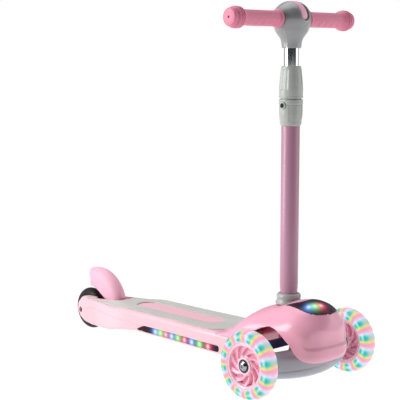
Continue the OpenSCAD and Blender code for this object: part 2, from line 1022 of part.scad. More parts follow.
module rear_spacers() {
    color("silver")
        for (side = [-1, 1])
            difference() {
                rod_x(side * (rear_tyre_w / 2 + 0.1), side * slot_half_w, 6, rear_y, rear_z);
                rod_x(-50, 50, axle_r, rear_y, rear_z);
            }
}

// Rear brake -------------------------------------------------------------------

// Side view of the fender, bounded by its arc and the straight lower edge
module fender_side_view(inset) {
    intersection() {
        translate([arc_y, arc_z])
            circle(r = fender_r - inset, $fn = 128);
        polygon([
            [hinge_y - 40, hinge_z + 3],
            [hinge_y - 8, hinge_z - 6 - 3 * inset],
            [hinge_y + 37, hinge_z + 7 - 3 * inset],
            [rear_y + 22, rear_z + 74 - 3 * inset],
            [rear_y + 24, rear_z + 150],
            [hinge_y - 40, rear_z + 150]
        ]);
        translate([hinge_y - 14, hinge_z - 30])
            square([200, 200]);
    }
}

// The fender's rounded cross-section, turned about the centre of its arc
module fender_round(inset) {
    r = fender_r - inset;
    a = fender_half_w - inset;
    translate([0, arc_y, arc_z])
        rotate([0, 90, 0])
            rotate_extrude($fn = 128)
                polygon(concat([[0, -a]],
                    [for (t = [-90:10:90]) [r - 22 + 22 * cos(t), a * sin(t)]], [[0, a]]));
}

// The fender from above: it narrows towards its tip
module fender_plan(inset) {
    a = fender_half_w - inset;
    polygon([
        [-a, hinge_y - 40],
        [a, hinge_y - 40],
        [a, hinge_y + 30],
        [a - 4, rear_y + 8],
        [a - 9, rear_y + 24],
        [9 - a, rear_y + 24],
        [4 - a, rear_y + 8],
        [-a, hinge_y + 30]
    ]);
}

module fender_form(inset) {
    intersection() {
        across(2 * fender_half_w - 2 * inset)
            fender_side_view(inset);
        fender_round(inset);
        linear_extrude(height = hinge_z + 200)
            fender_plan(inset);
    }
}

module brake_fender() {
    color(pink)
        difference() {
            union() {
                difference() {
                    fender_form(0);
                    fender_form(wall);
                }
                // rib that rubs on the wheel
                intersection() {
                    fender_form(wall - 0.5);
                    across(14)
                        difference() {
                            translate([rub_y - 16, rear_z])
                                square([26, 120]);
                            translate([rear_y, rear_z])
                                circle(r = rear_z + brake_gap, $fn = 128);
                        }
                }
                rod_x(-fender_half_w, fender_half_w, 7, hinge_y, hinge_z);
            }
            rod_x(-60, 60, 3 + run_fit, hinge_y, hinge_z);
            // room for the spring
            block([-8, hinge_y - 30, hinge_z - 30], [8, hinge_y + 9, hinge_z + 9]);
        }
}

module brake_pin() {
    color(steel)
        rod_x(-fender_half_w - 11, fender_half_w + 11, 3, hinge_y, hinge_z);
}

module brake_spring() {
    turns = 4;
    color("gray")
        for (i = [0:turns])
            translate([(i - turns / 2) * 3.2, hinge_y, hinge_z])
                rotate([0, 90, 0])
                    rotate_extrude()
                        translate([4.2, 0])
                            circle(r = 1, $fn = 16);
}

// Stem ---------------------------------------------------------------------------

module at_stem(z) {
    translate([0, stem_y, z])
        children();
}

module stem_tube() {
    color(mauve)
        difference() {
            at_stem(tube_bottom)
                cylinder(h = tube_top - tube_bottom, r = stem_r);
            at_stem(tube_bottom - 1)
                cylinder(h = tube_top - tube_bottom + 2, r = stem_bore_r);
            rod_x(-60, 0, button_d / 2 + 0.15, stem_y, button_z);
        }
}

module lower_collar() {
    h = lower_collar_h;
    color(light_grey)
        difference() {
            union() {
                at_stem(lower_bottom)
                    rotate_extrude()
                        polygon([[stem_r - 1, 0], [stem_r + 1.2, 0], [stem_r + 2.2, 2], [collar_r - 1.5, 9],
                            [collar_r, 17], [collar_r, h], [stem_r - 1, h]]);
                at_stem(lower_top - 1)
                    cylinder(h = twist_h - 16, r = neck_r);
                rod_x(-collar_r - 1.6, -stem_r, button_d / 2 + 2.4, stem_y, button_z);
            }
            at_stem(lower_bottom - 1)
                cylinder(h = tube_top - lower_bottom + 1, r = stem_r);
            at_stem(0)
                cylinder(h = 1000, r = stem_bore_r);
            rod_x(-60, 0, button_d / 2 + run_fit, stem_y, button_z);
        }
}

module stem_sleeve() {
    color("white")
        difference() {
            at_stem(sleeve_bottom)
                cylinder(h = twist_top - 9 - sleeve_bottom, r = stem_bore_r);
            at_stem(sleeve_bottom - 1)
                cylinder(h = 300, r = inner_r + run_fit);
            rod_x(-60, 0, nose_r + 0.3, stem_y, button_z);
        }
}

module height_button() {
    shoulder = stem_bore_r + 1.1 + button_travel;
    color(smoke)
        translate([0, stem_y, 0]) {
            rod_x(-collar_r - 1.4, -shoulder, button_d / 2, 0, button_z);
            rod_x(-shoulder, -inner_r - 0.35, nose_r, 0, button_z);
        }
}

module button_spring() {
    color("gray")
        difference() {
            rod_x(-stem_bore_r - 0.9, -stem_bore_r - 0.02, nose_r + 1.1, stem_y, button_z);
            rod_x(-40, 0, nose_r + 0.4, stem_y, button_z);
            at_stem(0)
                cylinder(h = 1000, r = stem_bore_r);
        }
}

module twist_collar() {
    h = twist_h;
    color(light_grey)
        difference() {
            at_stem(twist_bottom)
                rotate_extrude()
                    polygon([[inner_r - 1, 0], [collar_r - 0.6, 0], [collar_r, 1], [collar_r, h - 22],
                        [collar_r - 1.5, h - 16], [stem_r + 0.6, h - 3], [stem_r, h], [inner_r - 1, h]]);
            at_stem(twist_bottom - 1)
                cylinder(h = h - 16.5, r = neck_r + run_fit + 0.02);
            at_stem(twist_bottom)
                cylinder(h = h - 7, r = stem_bore_r + 0.8);
            at_stem(0)
                cylinder(h = 1000, r = inner_r + 0.5);
        }
}

module inner_tube() {
    bottom = foot_top - foot_h + 2;
    color("silver")
        difference() {
            at_stem(bottom)
                cylinder(h = bar_z - crossbar_r - 1 - bottom, r = inner_r);
            at_stem(bottom - 1)
                cylinder(h = 1000, r = inner_r - tube_wall);
            // long slot for the button's nose
            translate([-60, stem_y - nose_r - 0.5, button_z - height_travel - 5])
                cube([60, 2 * nose_r + 1, height_travel + 10]);
            rod_y(stem_y, stem_y + 60, screw_r, 0, screw_z);
        }
}

module inner_tube_foot() {
    color("white")
        difference() {
            at_stem(foot_top - foot_h)
                cylinder(h = foot_h, r = stem_bore_r - run_fit);
            at_stem(foot_top - foot_h + 2)
                cylinder(h = foot_h, r = inner_r);
            at_stem(foot_top - foot_h - 1)
                cylinder(h = foot_h, r = inner_r - tube_wall - 2);
        }
}

// Handlebar ------------------------------------------------------------------------

// Turned shape of the hub: a ball that runs down into a neck
module hub_form(inset) {
    r = hub_r - inset;
    at_stem(0)
        rotate_extrude($fn = 96)
            polygon(concat([[0, bar_z + hub_r * 0.93 - inset]],
                [for (t = [84:-6:-24]) [r * cos(t), bar_z + (hub_r * 0.93 - inset) * sin(t)]],
                [[hub_r * 0.78 - inset, bar_z - 19], [stem_r + 4.2 - inset, bar_z - 28],
                    [stem_r + 1.4 - inset, bar_z - 37], [stem_r + 0.6 - inset, hub_bottom],
                    [0, hub_bottom]]));
}

module insert_slab(grow) {
    translate([-9 - grow, stem_y - 60, bar_z - 2 - grow])
        cube([18 + 2 * grow, 76 + grow, 80]);
}

module bar_hub() {
    color(light_grey)
        difference() {
            hub_form(0);
            difference() {
                insert_slab(0.2);
                hub_form(3);
            }
            rod_x(-80, 80, crossbar_r, stem_y, bar_z);
            at_stem(hub_bottom - 1)
                cylinder(h = bar_z - hub_bottom - crossbar_r, r = inner_r);
            rod_y(stem_y, stem_y + 60, screw_r, 0, screw_z);
            rod_y(stem_y + inner_r + 2.5, stem_y + 60, screw_r + 2, 0, screw_z);
        }
}

module hub_insert() {
    color(pink)
        difference() {
            intersection() {
                hub_form(0);
                insert_slab(0);
            }
            hub_form(3);
        }
}

module hub_screw() {
    color(steel) {
        rod_y(stem_y + inner_r - tube_wall, stem_y + inner_r + 2.5, screw_r, 0, screw_z);
        rod_y(stem_y + inner_r + 2.5, stem_y + inner_r + 4, screw_r + 1.9, 0, screw_z);
    }
}

module crossbar() {
    color("silver")
        difference() {
            rod_x(-bar_w / 2 + 6, bar_w / 2 - 6, crossbar_r, stem_y, bar_z);
            rod_x(-bar_w, bar_w, crossbar_r - tube_wall, stem_y, bar_z);
        }
}

// A grip, drawn as (radius, distance from the middle) and turned about X
module grip(side) {
    end = bar_w / 2;
    r = grip_d / 2;
    start = hub_r + 0.5;
    color(pink)
        translate([0, stem_y, bar_z])
            rotate([0, side * 90, 0])
                difference() {
                    rotate_extrude()
                        polygon([[0, start], [14.5, start], [14.5, start + 5], [r + 0.4, start + 7],
                            [r, start + 12], [r, end - 30], [r + 1.6, end - 24], [flange_d / 2 - 1, end - 17],
                            [flange_d / 2, end - 14.5], [flange_d / 2, end - 11], [flange_d / 2 - 1.5, end - 9.5],
                            [14.8, end - 7], [14.2, end - 1.5], [13, end], [0, end]]);
                    translate([0, 0, start - 1])
                        cylinder(h = end - 6 - start + 1, r = crossbar_r);
                    cylinder(h = end + 1, r = 2);
                }
}

module grip_right() grip(-1);

module grip_left() grip(1);

deck_shell();
deck_base();
foot_mat();
mat_panel();
side_lens_right();
side_lens_left();
side_leds_right();
side_leds_left();
side_boards();
battery_box();
battery_cells();
battery_cover();
deck_screws();
front_cover();
lamp_window();
lamp_leds();
lamp_board();
stem_socket();
front_frame();
lean_pivot();
stem_tube();
lower_collar();
stem_sleeve();
button_spring();
rear_axle();
rear_spacers();
brake_pin();
brake_spring();
front_axle_beam();
lean_bush();
kingpins();
steering_link();
knuckle_right();
knuckle_left();
front_axle_right();
front_axle_left();
wheel_magnet_right();
wheel_magnet_left();
front_hub_right();
front_hub_left();
front_tyre_right();
front_tyre_left();
wheel_leds_right();
wheel_leds_left();
front_bearings_right();
front_bearings_left();
rear_tyre();
rear_hub();
rear_bearings();
brake_fender();
height_button();
twist_collar();
inner_tube();
inner_tube_foot();
bar_hub();
hub_insert();
hub_screw();
crossbar();
grip_right();
grip_left();
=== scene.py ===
import math

import bpy
import numpy as np
from mathutils import Matrix, Vector


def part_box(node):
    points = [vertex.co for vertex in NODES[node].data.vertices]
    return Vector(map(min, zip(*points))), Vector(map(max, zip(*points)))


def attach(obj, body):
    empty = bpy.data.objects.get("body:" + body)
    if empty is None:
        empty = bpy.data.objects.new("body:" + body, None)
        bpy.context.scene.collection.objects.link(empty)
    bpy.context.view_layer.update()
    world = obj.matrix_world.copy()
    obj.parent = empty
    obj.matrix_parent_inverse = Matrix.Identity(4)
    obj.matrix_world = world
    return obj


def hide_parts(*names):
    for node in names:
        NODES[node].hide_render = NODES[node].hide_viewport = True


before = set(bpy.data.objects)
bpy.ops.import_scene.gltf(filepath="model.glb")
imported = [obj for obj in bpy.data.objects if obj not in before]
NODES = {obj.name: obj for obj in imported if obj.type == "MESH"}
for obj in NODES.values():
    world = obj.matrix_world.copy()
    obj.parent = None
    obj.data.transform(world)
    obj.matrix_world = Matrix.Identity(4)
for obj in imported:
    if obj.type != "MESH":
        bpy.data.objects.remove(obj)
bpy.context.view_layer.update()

# Lengths below are in millimetres in the frame of the CAD, and turn into metres when a mesh is made.
MM = 0.001


def mid(node):
    lo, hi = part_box(node)
    return (lo + hi) / 2 / MM


def lo_hi(node):
    lo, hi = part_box(node)
    return lo / MM, hi / MM


STEM_Y = mid("stem_tube").y
BAR_Z = mid("crossbar").z
FRONT_Y, FRONT_Z = mid("front_tyre_right").y, mid("front_tyre_right").z
WHEEL_X = mid("front_tyre_left").x
REAR_Y, REAR_Z = mid("rear_tyre").y, mid("rear_tyre").z
DECK_TOP = lo_hi("foot_mat")[1].z
HINGE_Y, HINGE_Z = mid("brake_pin").y, mid("brake_pin").z
RING_BASE = lo_hi("stem_socket")[1].z - 17
TWIST_LO, TWIST_HI = lo_hi("twist_collar")[0].z, lo_hi("twist_collar")[1].z
LOWER_LO = lo_hi("lower_collar")[0].z
LOWER_HI = TWIST_LO - 2
BUTTON_Z = mid("height_button").z
HUB_LO = lo_hi("bar_hub")[0].z


# --- shape functions -----------------------------------------------------------

def smax(a, b, k):
    h = np.clip(0.5 + 0.5 * (a - b) / k, 0, 1)
    return b + (a - b) * h + k * h * (1 - h)


def smin(a, b, k):
    return -smax(-a, -b, k)


def step01(t):
    t = np.clip(t, 0, 1)
    return t * t * (3 - 2 * t)


def curve(xs, ys, smooth=3.0):
    """A smooth function through rough points: linear, then blurred over `smooth`."""
    xs, ys = np.asarray(xs, float), np.asarray(ys, float)
    g = np.arange(xs[0] - 60, xs[-1] + 60, 0.5)
    v = np.interp(g, xs, ys)
    k = np.exp(-0.5 * (np.arange(-40, 41) * 0.5 / smooth) ** 2)
    v = np.convolve(np.pad(v, 40, mode="edge"), k / k.sum(), mode="valid")
    return lambda x: np.interp(x, g, v)


def rounded(points, radius, closed=True, n=5):
    """A polyline with its corners turned into arcs. radius is one number or one per point."""
    pts = [np.array(p, float) for p in points]
    rr = [radius] * len(pts) if np.isscalar(radius) else list(radius)
    out = []
    for i, p in enumerate(pts):
        if not closed and i in (0, len(pts) - 1) or rr[i] <= 0:
            out.append(p)
            continue
        a, b = pts[i - 1] - p, pts[(i + 1) % len(pts)] - p
        la, lb = np.linalg.norm(a), np.linalg.norm(b)
        a, b = a / la, b / lb
        ang = math.acos(float(np.clip(a @ b, -1, 1)))
        if ang > math.pi - 0.02:
            out.append(p)
            continue
        d = min(rr[i] / math.tan(ang / 2), la * 0.49, lb * 0.49)
        r = d * math.tan(ang / 2)
        c = p + (a + b) / np.linalg.norm(a + b) * r / math.sin(ang / 2)
        p0, p1 = p + a * d, p + b * d
        t0 = math.atan2(*(p0 - c)[::-1])
        t1 = math.atan2(*(p1 - c)[::-1])
        dt = (t1 - t0 + math.pi) % (2 * math.pi) - math.pi
        angles = [t0 + dt * k / n for k in range(n + 1)]
        out += [c + r * np.array([math.cos(t), math.sin(t)]) for t in angles]
    return np.array(out)


def outline_field(points, pad=14, step=0.5):
    """Signed distance to a closed outline, as a smooth lookup. Negative inside."""
    p = np.asarray(points, float)
    lo, hi = p.min(0) - pad, p.max(0) + pad
    us, vs = np.arange(lo[0], hi[0], step), np.arange(lo[1], hi[1], step)
    U, V = np.meshgrid(us, vs, indexing="ij")
    best = np.full(U.shape, 1e9)
    odd = np.zeros(U.shape, bool)
    for a, b in zip(p, np.roll(p, -1, axis=0)):
        ab = b - a
        L = ab @ ab
        if L < 1e-12:
            continue
        t = np.clip(((U - a[0]) * ab[0] + (V - a[1]) * ab[1]) / L, 0, 1)
        best = np.minimum(best, (U - a[0] - t * ab[0]) ** 2 + (V - a[1] - t * ab[1]) ** 2)
        cross = (a[1] > V) != (b[1] > V)
        if abs(ab[1]) > 1e-12:
            odd ^= cross & (U < a[0] + (V - a[1]) / ab[1] * ab[0])
    sd = np.where(odd, -1, 1) * np.sqrt(best)

    def look(u, v):
        fu = np.clip((u - us[0]) / step, 1, len(us) - 3.001)
        fv = np.clip((v - vs[0]) / step, 1, len(vs) - 3.001)
        iu, iv = fu.astype(int), fv.astype(int)
        tu, tv = fu - iu, fv - iv
        wu = [(1 - tu) ** 3 / 6, (3 * tu**3 - 6 * tu**2 + 4) / 6, (-3 * tu**3 + 3 * tu**2 + 3 * tu + 1) / 6,
                tu**3 / 6]
        wv = [(1 - tv) ** 3 / 6, (3 * tv**3 - 6 * tv**2 + 4) / 6, (-3 * tv**3 + 3 * tv**2 + 3 * tv + 1) / 6,
                tv**3 / 6]
        out = 0
        for i in range(4):
            row = 0
            for j in range(4):
                row = row + wv[j] * sd[iu + i - 1, iv + j - 1]
            out = out + wu[i] * row
        return out
    return look


# --- mesh makers ---------------------------------------------------------------

def finish_mesh(name, verts, faces, normals=None, angle=None):
    me = bpy.data.meshes.new(name)
    me.from_pydata((np.asarray(verts) * MM).tolist(), [], [list(map(int, f)) for f in faces])
    me.validate()
    me.update()
    me.shade_smooth()
    if normals is not None:
        me.normals_split_custom_set_from_vertices(np.asarray(normals).tolist())
    elif angle is not None:
        me.set_sharp_from_angle(angle=math.radians(angle))
    ob = bpy.data.objects.new(name, me)
    bpy.context.scene.collection.objects.link(ob)
    return ob


def gradient(f, P, h=0.12):
    g = np.empty_like(P)
    for a in range(3):
        d = np.zeros(3)
        d[a] = h
        g[:, a] = (f(*(P + d).T) - f(*(P - d).T)) / (2 * h)
    return g


def net(name, f, lo, hi, step, passes=5):
    """A closed quad mesh of the surface f(x, y, z) = 0, on a grid, then drawn onto the surface."""
    ax = [lo[i] + step * np.arange(int(np.ceil((hi[i] - lo[i]) / step)) + 1) for i in range(3)]
    v = f(*np.meshgrid(*ax, indexing="ij"))
    inside = v < 0
    dims = np.array(v.shape)
    flat = lambda c: (c[:, 0] * dims[1] + c[:, 1]) * dims[2] + c[:, 2]
    keys, points, quads = [], [], []
    for a in range(3):
        b, c = (a + 1) % 3, (a + 2) % 3
        s0, s1 = [slice(None)] * 3, [slice(None)] * 3
        s0[a], s1[a] = slice(0, -1), slice(1, None)
        s0, s1 = tuple(s0), tuple(s1)
        idx = np.argwhere(inside[s0] != inside[s1])
        va, vb = v[s0][tuple(idx.T)], v[s1][tuple(idx.T)]
        pos = idx.astype(float)
        pos[:, a] += va / (va - vb)
        cells = []
        for db, dc in ((1, 1), (0, 1), (0, 0), (1, 0)):
            cell = idx.copy()
            cell[:, b] -= db
            cell[:, c] -= dc
            cells.append(flat(cell))
            keys.append(cells[-1])
            points.append(pos)
        q = np.stack(cells, 1)
        out = va < 0
        q[~out] = q[~out][:, ::-1]
        quads.append(q)
    keys, points, quads = np.concatenate(keys), np.concatenate(points), np.concatenate(quads)
    ids, inv = np.unique(keys, return_inverse=True)
    n = np.bincount(inv)
    P = np.stack([np.bincount(inv, points[:, a]) / n for a in range(3)], 1)
    P = P * step + np.array([ax[0][0], ax[1][0], ax[2][0]])
    for _ in range(passes):
        g = gradient(f, P)
        move = (f(*P.T) / np.maximum((g**2).sum(1), 0.05))[:, None] * g
        size = np.linalg.norm(move, axis=1, keepdims=True)
        P = P - move * np.minimum(1, 0.4 * step / np.maximum(size, 1e-9))
    g = gradient(f, P, 0.3)
    N = g / np.maximum(np.linalg.norm(g, axis=1, keepdims=True), 1e-9)
    return finish_mesh(name, P, np.searchsorted(ids, quads), normals=N)


def skin(name, P, wrap_u=True, wrap_v=True, flip=False, angle=None):
    """A quad mesh through a grid of points, closed along either direction."""
    P = np.asarray(P, float)
    m, n = P.shape[:2]
    i = np.arange(m if wrap_u else m - 1)
    j = np.arange(n if wrap_v else n - 1)
    I, J = np.meshgrid(i, j, indexing="ij")
    I2, J2 = (I + 1) % m, (J + 1) % n
    q = np.stack([I * n + J, I2 * n + J, I2 * n + J2, I * n + J2], -1).reshape(-1, 4)
    if flip:
        q = q[:, ::-1]
    V = P.reshape(-1, 3)
    # poles: points that fall together become one
    key = np.round(V, 4)
    _, first, inv = np.unique(key, axis=0, return_index=True, return_inverse=True)
    inv = inv.reshape(-1)
    V, q = V[first], inv[q]
    faces = []
    for f in q:
        g = [f[0]]
        for k in f[1:]:
            if k != g[-1]:
                g.append(k)
        if g[0] == g[-1]:
            g.pop()
        if len(set(g)) > 2:
            faces.append(g)
    return finish_mesh(name, V, faces, angle=angle)


AXES = {
    "z": (np.array([0, 0, 1.0]), np.array([1.0, 0, 0]), np.array([0, 1.0, 0])),
    "x": (np.array([1.0, 0, 0]), np.array([0, 1.0, 0]), np.array([0, 0, 1.0])),
    "-x": (np.array([-1.0, 0, 0]), np.array([0, -1.0, 0]), np.array([0, 0, 1.0])),
}


def turned(name, profile, centre, axis="z", n=96, warp=None, closed=True, angle=40):
    """Turns a profile of (radius, height) about an axis.

    The profile runs anticlockwise, with the radius to the right.
    """
    d, e1, e2 = AXES[axis]
    prof = np.asarray(profile, float)
    th = 2 * math.pi * np.arange(n) / n
    R = np.repeat(prof[:, :1], n, 1)
    H = np.repeat(prof[:, 1:], n, 1)
    T = np.repeat(th[None, :], len(prof), 0)
    if warp is not None:
        R, H = warp(R, H, T)
    P = (np.asarray(centre, float) + R[..., None] * (np.cos(T)[..., None] * e1 + np.sin(T)[..., None] * e2)
         + H[..., None] * d)
    return skin(name, P, wrap_u=closed, wrap_v=True, flip=True, angle=angle)


def joined(name, objects):
    """Several meshes as one piece."""
    for o in bpy.context.selected_objects:
        o.select_set(False)
    for o in objects:
        o.select_set(True)
    bpy.context.view_layer.objects.active = objects[0]
    bpy.ops.object.join()
    objects[0].name = name
    objects[0].data.name = name
    return objects[0]


# --- front cover ---------------------------------------------------------------

COVER_HALF_W = 61.6
COVER_WALL = 3.2
NOSE_START, NOSE_LENGTH = 28, 69.6
WINDOW_DEPTH, VISOR_WALL = 1.7, 1.6
SOCKET_R, RING_SEAT_R = 18.4, 22.25
crest_line = curve([-140, -48, -25, 0, 24, 43, 59, 75, 94, 112, 130, 160],
                   [146.5, 146.5, 142, 134, 127.5, 121, 111, 97, 82, 74.5, 72, 72], 5)
dome_depth = curve([-140, 0, 24, 43, 60, 75, 94, 112, 160], [62, 62, 55, 47, 37, 24, 12, 4, 3], 5)
arch_edge = curve([-140, -98, -87, -77, -69, -62, -57, -51, -37, -24, -11, 6, 20, 34, 47, 54, 110, 124,
        160], [53, 53, 53.5, 57.5, 63.5, 73, 80, 85, 95.5, 102, 104, 99, 92, 84, 75, 69, 69, 74.2, 74.2],
        1.6)


def cover_form(x, v, z):
    """The cover as a solid bulk, about in millimetres, negative inside. v runs back from the stem."""
    ax = np.abs(x)
    back = step01((v - 20) / 60)
    vs = v + 9 * back * (ax / COVER_HALF_W) ** 2
    crest, depth = crest_line(vs), dome_depth(vs)
    top = np.maximum(0, (z - crest + depth) / depth)
    nose = np.maximum(0, (-NOSE_START - v) / NOSE_LENGTH)
    core = (top**3.5 + nose**3.5) ** (1 / 3.5)
    n = 2 + 1.1 * step01((124 - z) / 34)
    f = ((core**n + (ax / COVER_HALF_W) ** n + 1e-12) ** (1 / n) - 1) * 60
    # the face under the brow is set in, down to the chin's lip, and the chin rolls under
    front = step01((-40 - v) / 14)
    brow = 99 + 16 * (x / 52) ** 2
    lip = 74 + 9 * np.clip((ax - 46) / 9, 0, 2) ** 2
    face = step01((brow + 6 - z) / 24) * step01((z - lip) / 5) * (1 - step01((ax - 36) / 22))
    f = f + front * (3.0 * face + 3.2 * np.clip((66 - z) / 12, 0, 1.2) ** 2)
    # a soft bulge over the brow
    return f - front * 0.3 * np.exp(-((z - brow - 5) / 5) ** 2) * (1 - step01((ax - 34) / 18))


def smooth_loop(points, n=7):
    """A closed curve through the points."""
    p = np.asarray(points, float)
    out = []
    for i in range(len(p)):
        a, b, c, d = p[i - 1], p[i], p[(i + 1) % len(p)], p[(i + 2) % len(p)]
        for t in np.arange(n) / n:
            square, cube = 2 * a - 5 * b + 4 * c - d, 3 * b - a - 3 * c + d
            out.append(0.5 * (2 * b + (c - a) * t + square * t**2 + cube * t**3))
    return np.array(out)


def mirrored(points):
    """Adds the other side (-x) of a half outline that starts and ends on x = 0."""
    return points + [(-x, y) for x, y in reversed(points[1:-1])]


WINDOW = mirrored([(0, -47), (6, -46.2), (11.5, -43), (15.5, -36), (18, -26), (20, -16), (21.8, -14),
        (24.2, -19), (28.6, -32), (32.4, -47), (33.8, -58), (32.6, -68.5), (28.2, -77.5), (21, -84),
        (11.5, -88.3), (0, -90)])
window_plan = outline_field(smooth_loop(WINDOW))


def cover_solid(x, y, z):
    v = y - STEM_Y
    form = cover_form(x, v, z)
    f = smax(form, arch_edge(v) - z, 1.6)
    # the form rises faster over a shallow part of the dome, so its wall is measured to match
    f = smax(f, -(form + COVER_WALL * np.clip(60 / dome_depth(v), 1, 12)), 0.8)
    r = np.hypot(x, v)
    f = smax(f, -np.maximum(r - SOCKET_R, 90 - z), 0.5)
    f = smax(f, -np.maximum(r - RING_SEAT_R, RING_BASE - z), 0.4)
    recess = np.maximum(np.maximum(window_plan(x, v), -(form + WINDOW_DEPTH)), 110 - z)
    return smax(f, -recess, 0.4)


cover = net("nose_cover", cover_solid, (-64, STEM_Y - 101, 49), (64, STEM_Y + 150, 150), 1.25)


def visor_solid(x, y, z):
    v = y - STEM_Y
    form = cover_form(x, v, z)
    f = smax(form + 0.1, window_plan(x, v) + 0.25, 0.8)
    return np.maximum(np.maximum(f, -(form + VISOR_WALL)), 112 - z)


visor = net("lamp_visor", visor_solid, (-36, STEM_Y - 92, 116), (37, STEM_Y - 8, 150), 0.9)

# --- stem ring, tube and collars -----------------------------------------------

TUBE_IN_R, TUBE_R = 13.5, 15
ring = turned("socket_ring", rounded([(13.9, 3), (13.9, -2), (22, -0.4), (22, 1.6), (20.4, 5), (19.3, 8),
        (20.2, 10), (20.3, 12.6), (19, 15.2), (16.4, 17), (13.9, 16.4)],
        [0, 0, 0.3, 1.2, 3, 1.6, 2, 2, 2, 1.2, 0.6]), (0, STEM_Y, RING_BASE), n=128, angle=60)
lo, hi = lo_hi("stem_tube")
tube = turned("outer_tube", [(TUBE_IN_R, lo.z), (TUBE_R, lo.z), (TUBE_R, RING_BASE - 6),
        (13.75, RING_BASE + 13), (13.75, RING_BASE + 16.5), (14.1, RING_BASE + 20), (14.7, RING_BASE + 26),
        (TUBE_R, RING_BASE + 33), (TUBE_R, hi.z - 0.4), (14.6, hi.z), (TUBE_IN_R, hi.z)], (0, STEM_Y, 0),
        n=128, angle=50)


def flute(T, at, half, edge):
    """1 inside a sector about the angle `at`, in degrees, easing to 0 over `edge`."""
    d = np.abs((np.degrees(T) - at + 180) % 360 - 180)
    return 1 - step01((d - half) / edge)


def twist_warp(R, H, T):
    outer = R > 16.6
    h = (H - TWIST_LO) / (TWIST_HI - TWIST_LO)
    cut = 0
    for at in (0, 180):
        foot = 0.235 + 0.05 * flute(T, at, 2, 24)
        high = step01((h - 0.31 + foot * 0.3) / 0.05) * (1 - step01((h - 0.9) / 0.08))
        cut = cut + 1.5 * flute(T, at, 19, 12) * high
    rib = 0
    for at in (68, 112, 248, 292):
        crest = step01((h - 0.36) / 0.03) * (1 - step01((h - 0.9) / 0.06))
        foot = step01((h - 0.34) / 0.03) * (1 - step01((h - 0.92) / 0.06))
        rib = rib + 0.9 * flute(T, at, 2.2, 2.5) * crest - 0.35 * flute(T, at, 5.5, 2.5) * foot
    return R + np.where(outer, rib - cut, 0), H


t0, t1 = TWIST_LO, TWIST_HI
outer_line = rounded([(17.1, t0), (19.2, t0), (19.75, t0 + 0.8), (19.75, t0 + 2.6), (19.3, t0 + 3.4),
        (19.45, t0 + 4.4), (19.6, t0 + 14), (18.6, t0 + 28), (17.2, t0 + 41), (16.2, t1 - 3),
        (15.6, t1 - 0.8), (14.4, t1), (12.4, t1)], [0, 0.4, 0.4, 0.4, 0.3, 0.6, 8, 14, 8, 2, 0.7, 0.5, 0],
        closed=False)


def resample(line, gap):
    out = [line[0]]
    for a, b in zip(line[:-1], line[1:]):
        n = max(1, int(round(np.linalg.norm(b - a) / gap)))
        out += [a + (b - a) * k / n for k in range(1, n + 1)]
    return np.array(out)


twist = turned("twist_nut", np.vstack([resample(outer_line, 0.8),
        [(12.4, t0 + 45), (14.3, t0 + 44.4), (14.3, t0 + 35), (17.1, t0 + 35)]]), (0, STEM_Y, 0), n=240,
        warp=twist_warp, angle=60)


def lower_warp(R, H, T):
    outer = R > 16.4
    h = (H - LOWER_LO) / (LOWER_HI - LOWER_LO)
    low = step01((h - 0.12) / 0.06) * (1 - step01((h - 0.8) / 0.04))
    cut = 0
    for at in (90, 270):
        cut = cut + 0.45 * flute(T, at, 56, 3) * low
    for at in (70, 110, 250, 290):
        rib = step01((h - 0.2) / 0.08) * (1 - step01((h - 0.76) / 0.05))
        cut = cut - 0.85 * flute(T, at, 3.4, 2.5) * rib
    return R + np.where(outer, -cut, 0), H


c0, c1 = LOWER_LO, LOWER_HI
lower_line = rounded([(15.02, c0), (15.9, c0), (17, c0 + 1.8), (18.3, c0 + 9), (19.5, c0 + 18),
        (19.6, c1 - 9), (19.3, c1 - 8.4), (19.6, c1 - 7.6), (19.65, c1 - 4.2), (19.3, c1 - 3.6),
        (19.7, c1 - 2.8), (19.5, c1 - 0.7), (18.9, c1), (17, c1), (17, c1 + 34.5), (13.6, c1 + 34.5)],
        [0, 0.6, 2, 12, 8, 0.3, 0.3, 0.3, 0.3, 0.3, 0.6, 0.6, 0.3, 0, 0.5, 0], closed=False)
lower = turned("lower_nut", np.vstack([resample(lower_line, 0.8), [(13.6, c1 - 1.6), (15.02, c1 - 1.6)]]),
        (0, STEM_Y, 0), n=240, warp=lower_warp, angle=60)
COLLAR_R = 19.75
BORE_START, BORE_R = 15.1, 3.68
BUTTON_START, BUTTON_R = 18.2, 3.6
bezel = turned("button_bezel", rounded([(3.7, BORE_START), (5.6, BORE_START), (6, COLLAR_R + 0.2),
        (5.6, COLLAR_R + 1.3), (4.4, COLLAR_R + 1.6), (3.7, COLLAR_R + 1)], [0, 0, 1.2, 0.6, 0.4, 0.3]),
        (0, STEM_Y, BUTTON_Z), axis="-x", n=64)
knob = turned("stem_button", rounded([(0, BUTTON_START), (BUTTON_R, BUTTON_START),
        (BUTTON_R, COLLAR_R + 0.5), (2.6, COLLAR_R + 1.25), (0, COLLAR_R + 1.4)], [0, 0, 0.5, 1.5, 0],
        closed=False), (0, STEM_Y, BUTTON_Z), axis="-x", n=48, closed=False)
# the bore that the button sinks into
bore = turned("bore", [(0, BORE_START), (BORE_R, BORE_START), (BORE_R, 24), (0, 24)], (0, STEM_Y, BUTTON_Z),
        axis="-x", n=48, closed=False)
cut = lower.modifiers.new("bore", "BOOLEAN")
cut.operation, cut.solver, cut.object = "DIFFERENCE", "EXACT", bore
bpy.context.view_layer.update()
bored = bpy.data.meshes.new_from_object(lower.evaluated_get(bpy.context.evaluated_depsgraph_get()))
lower.modifiers.clear()
bored.name = "lower_nut"
lower.data = bored
bpy.data.objects.remove(bore)

# --- chrome tube and handlebar ---------------------------------------------------

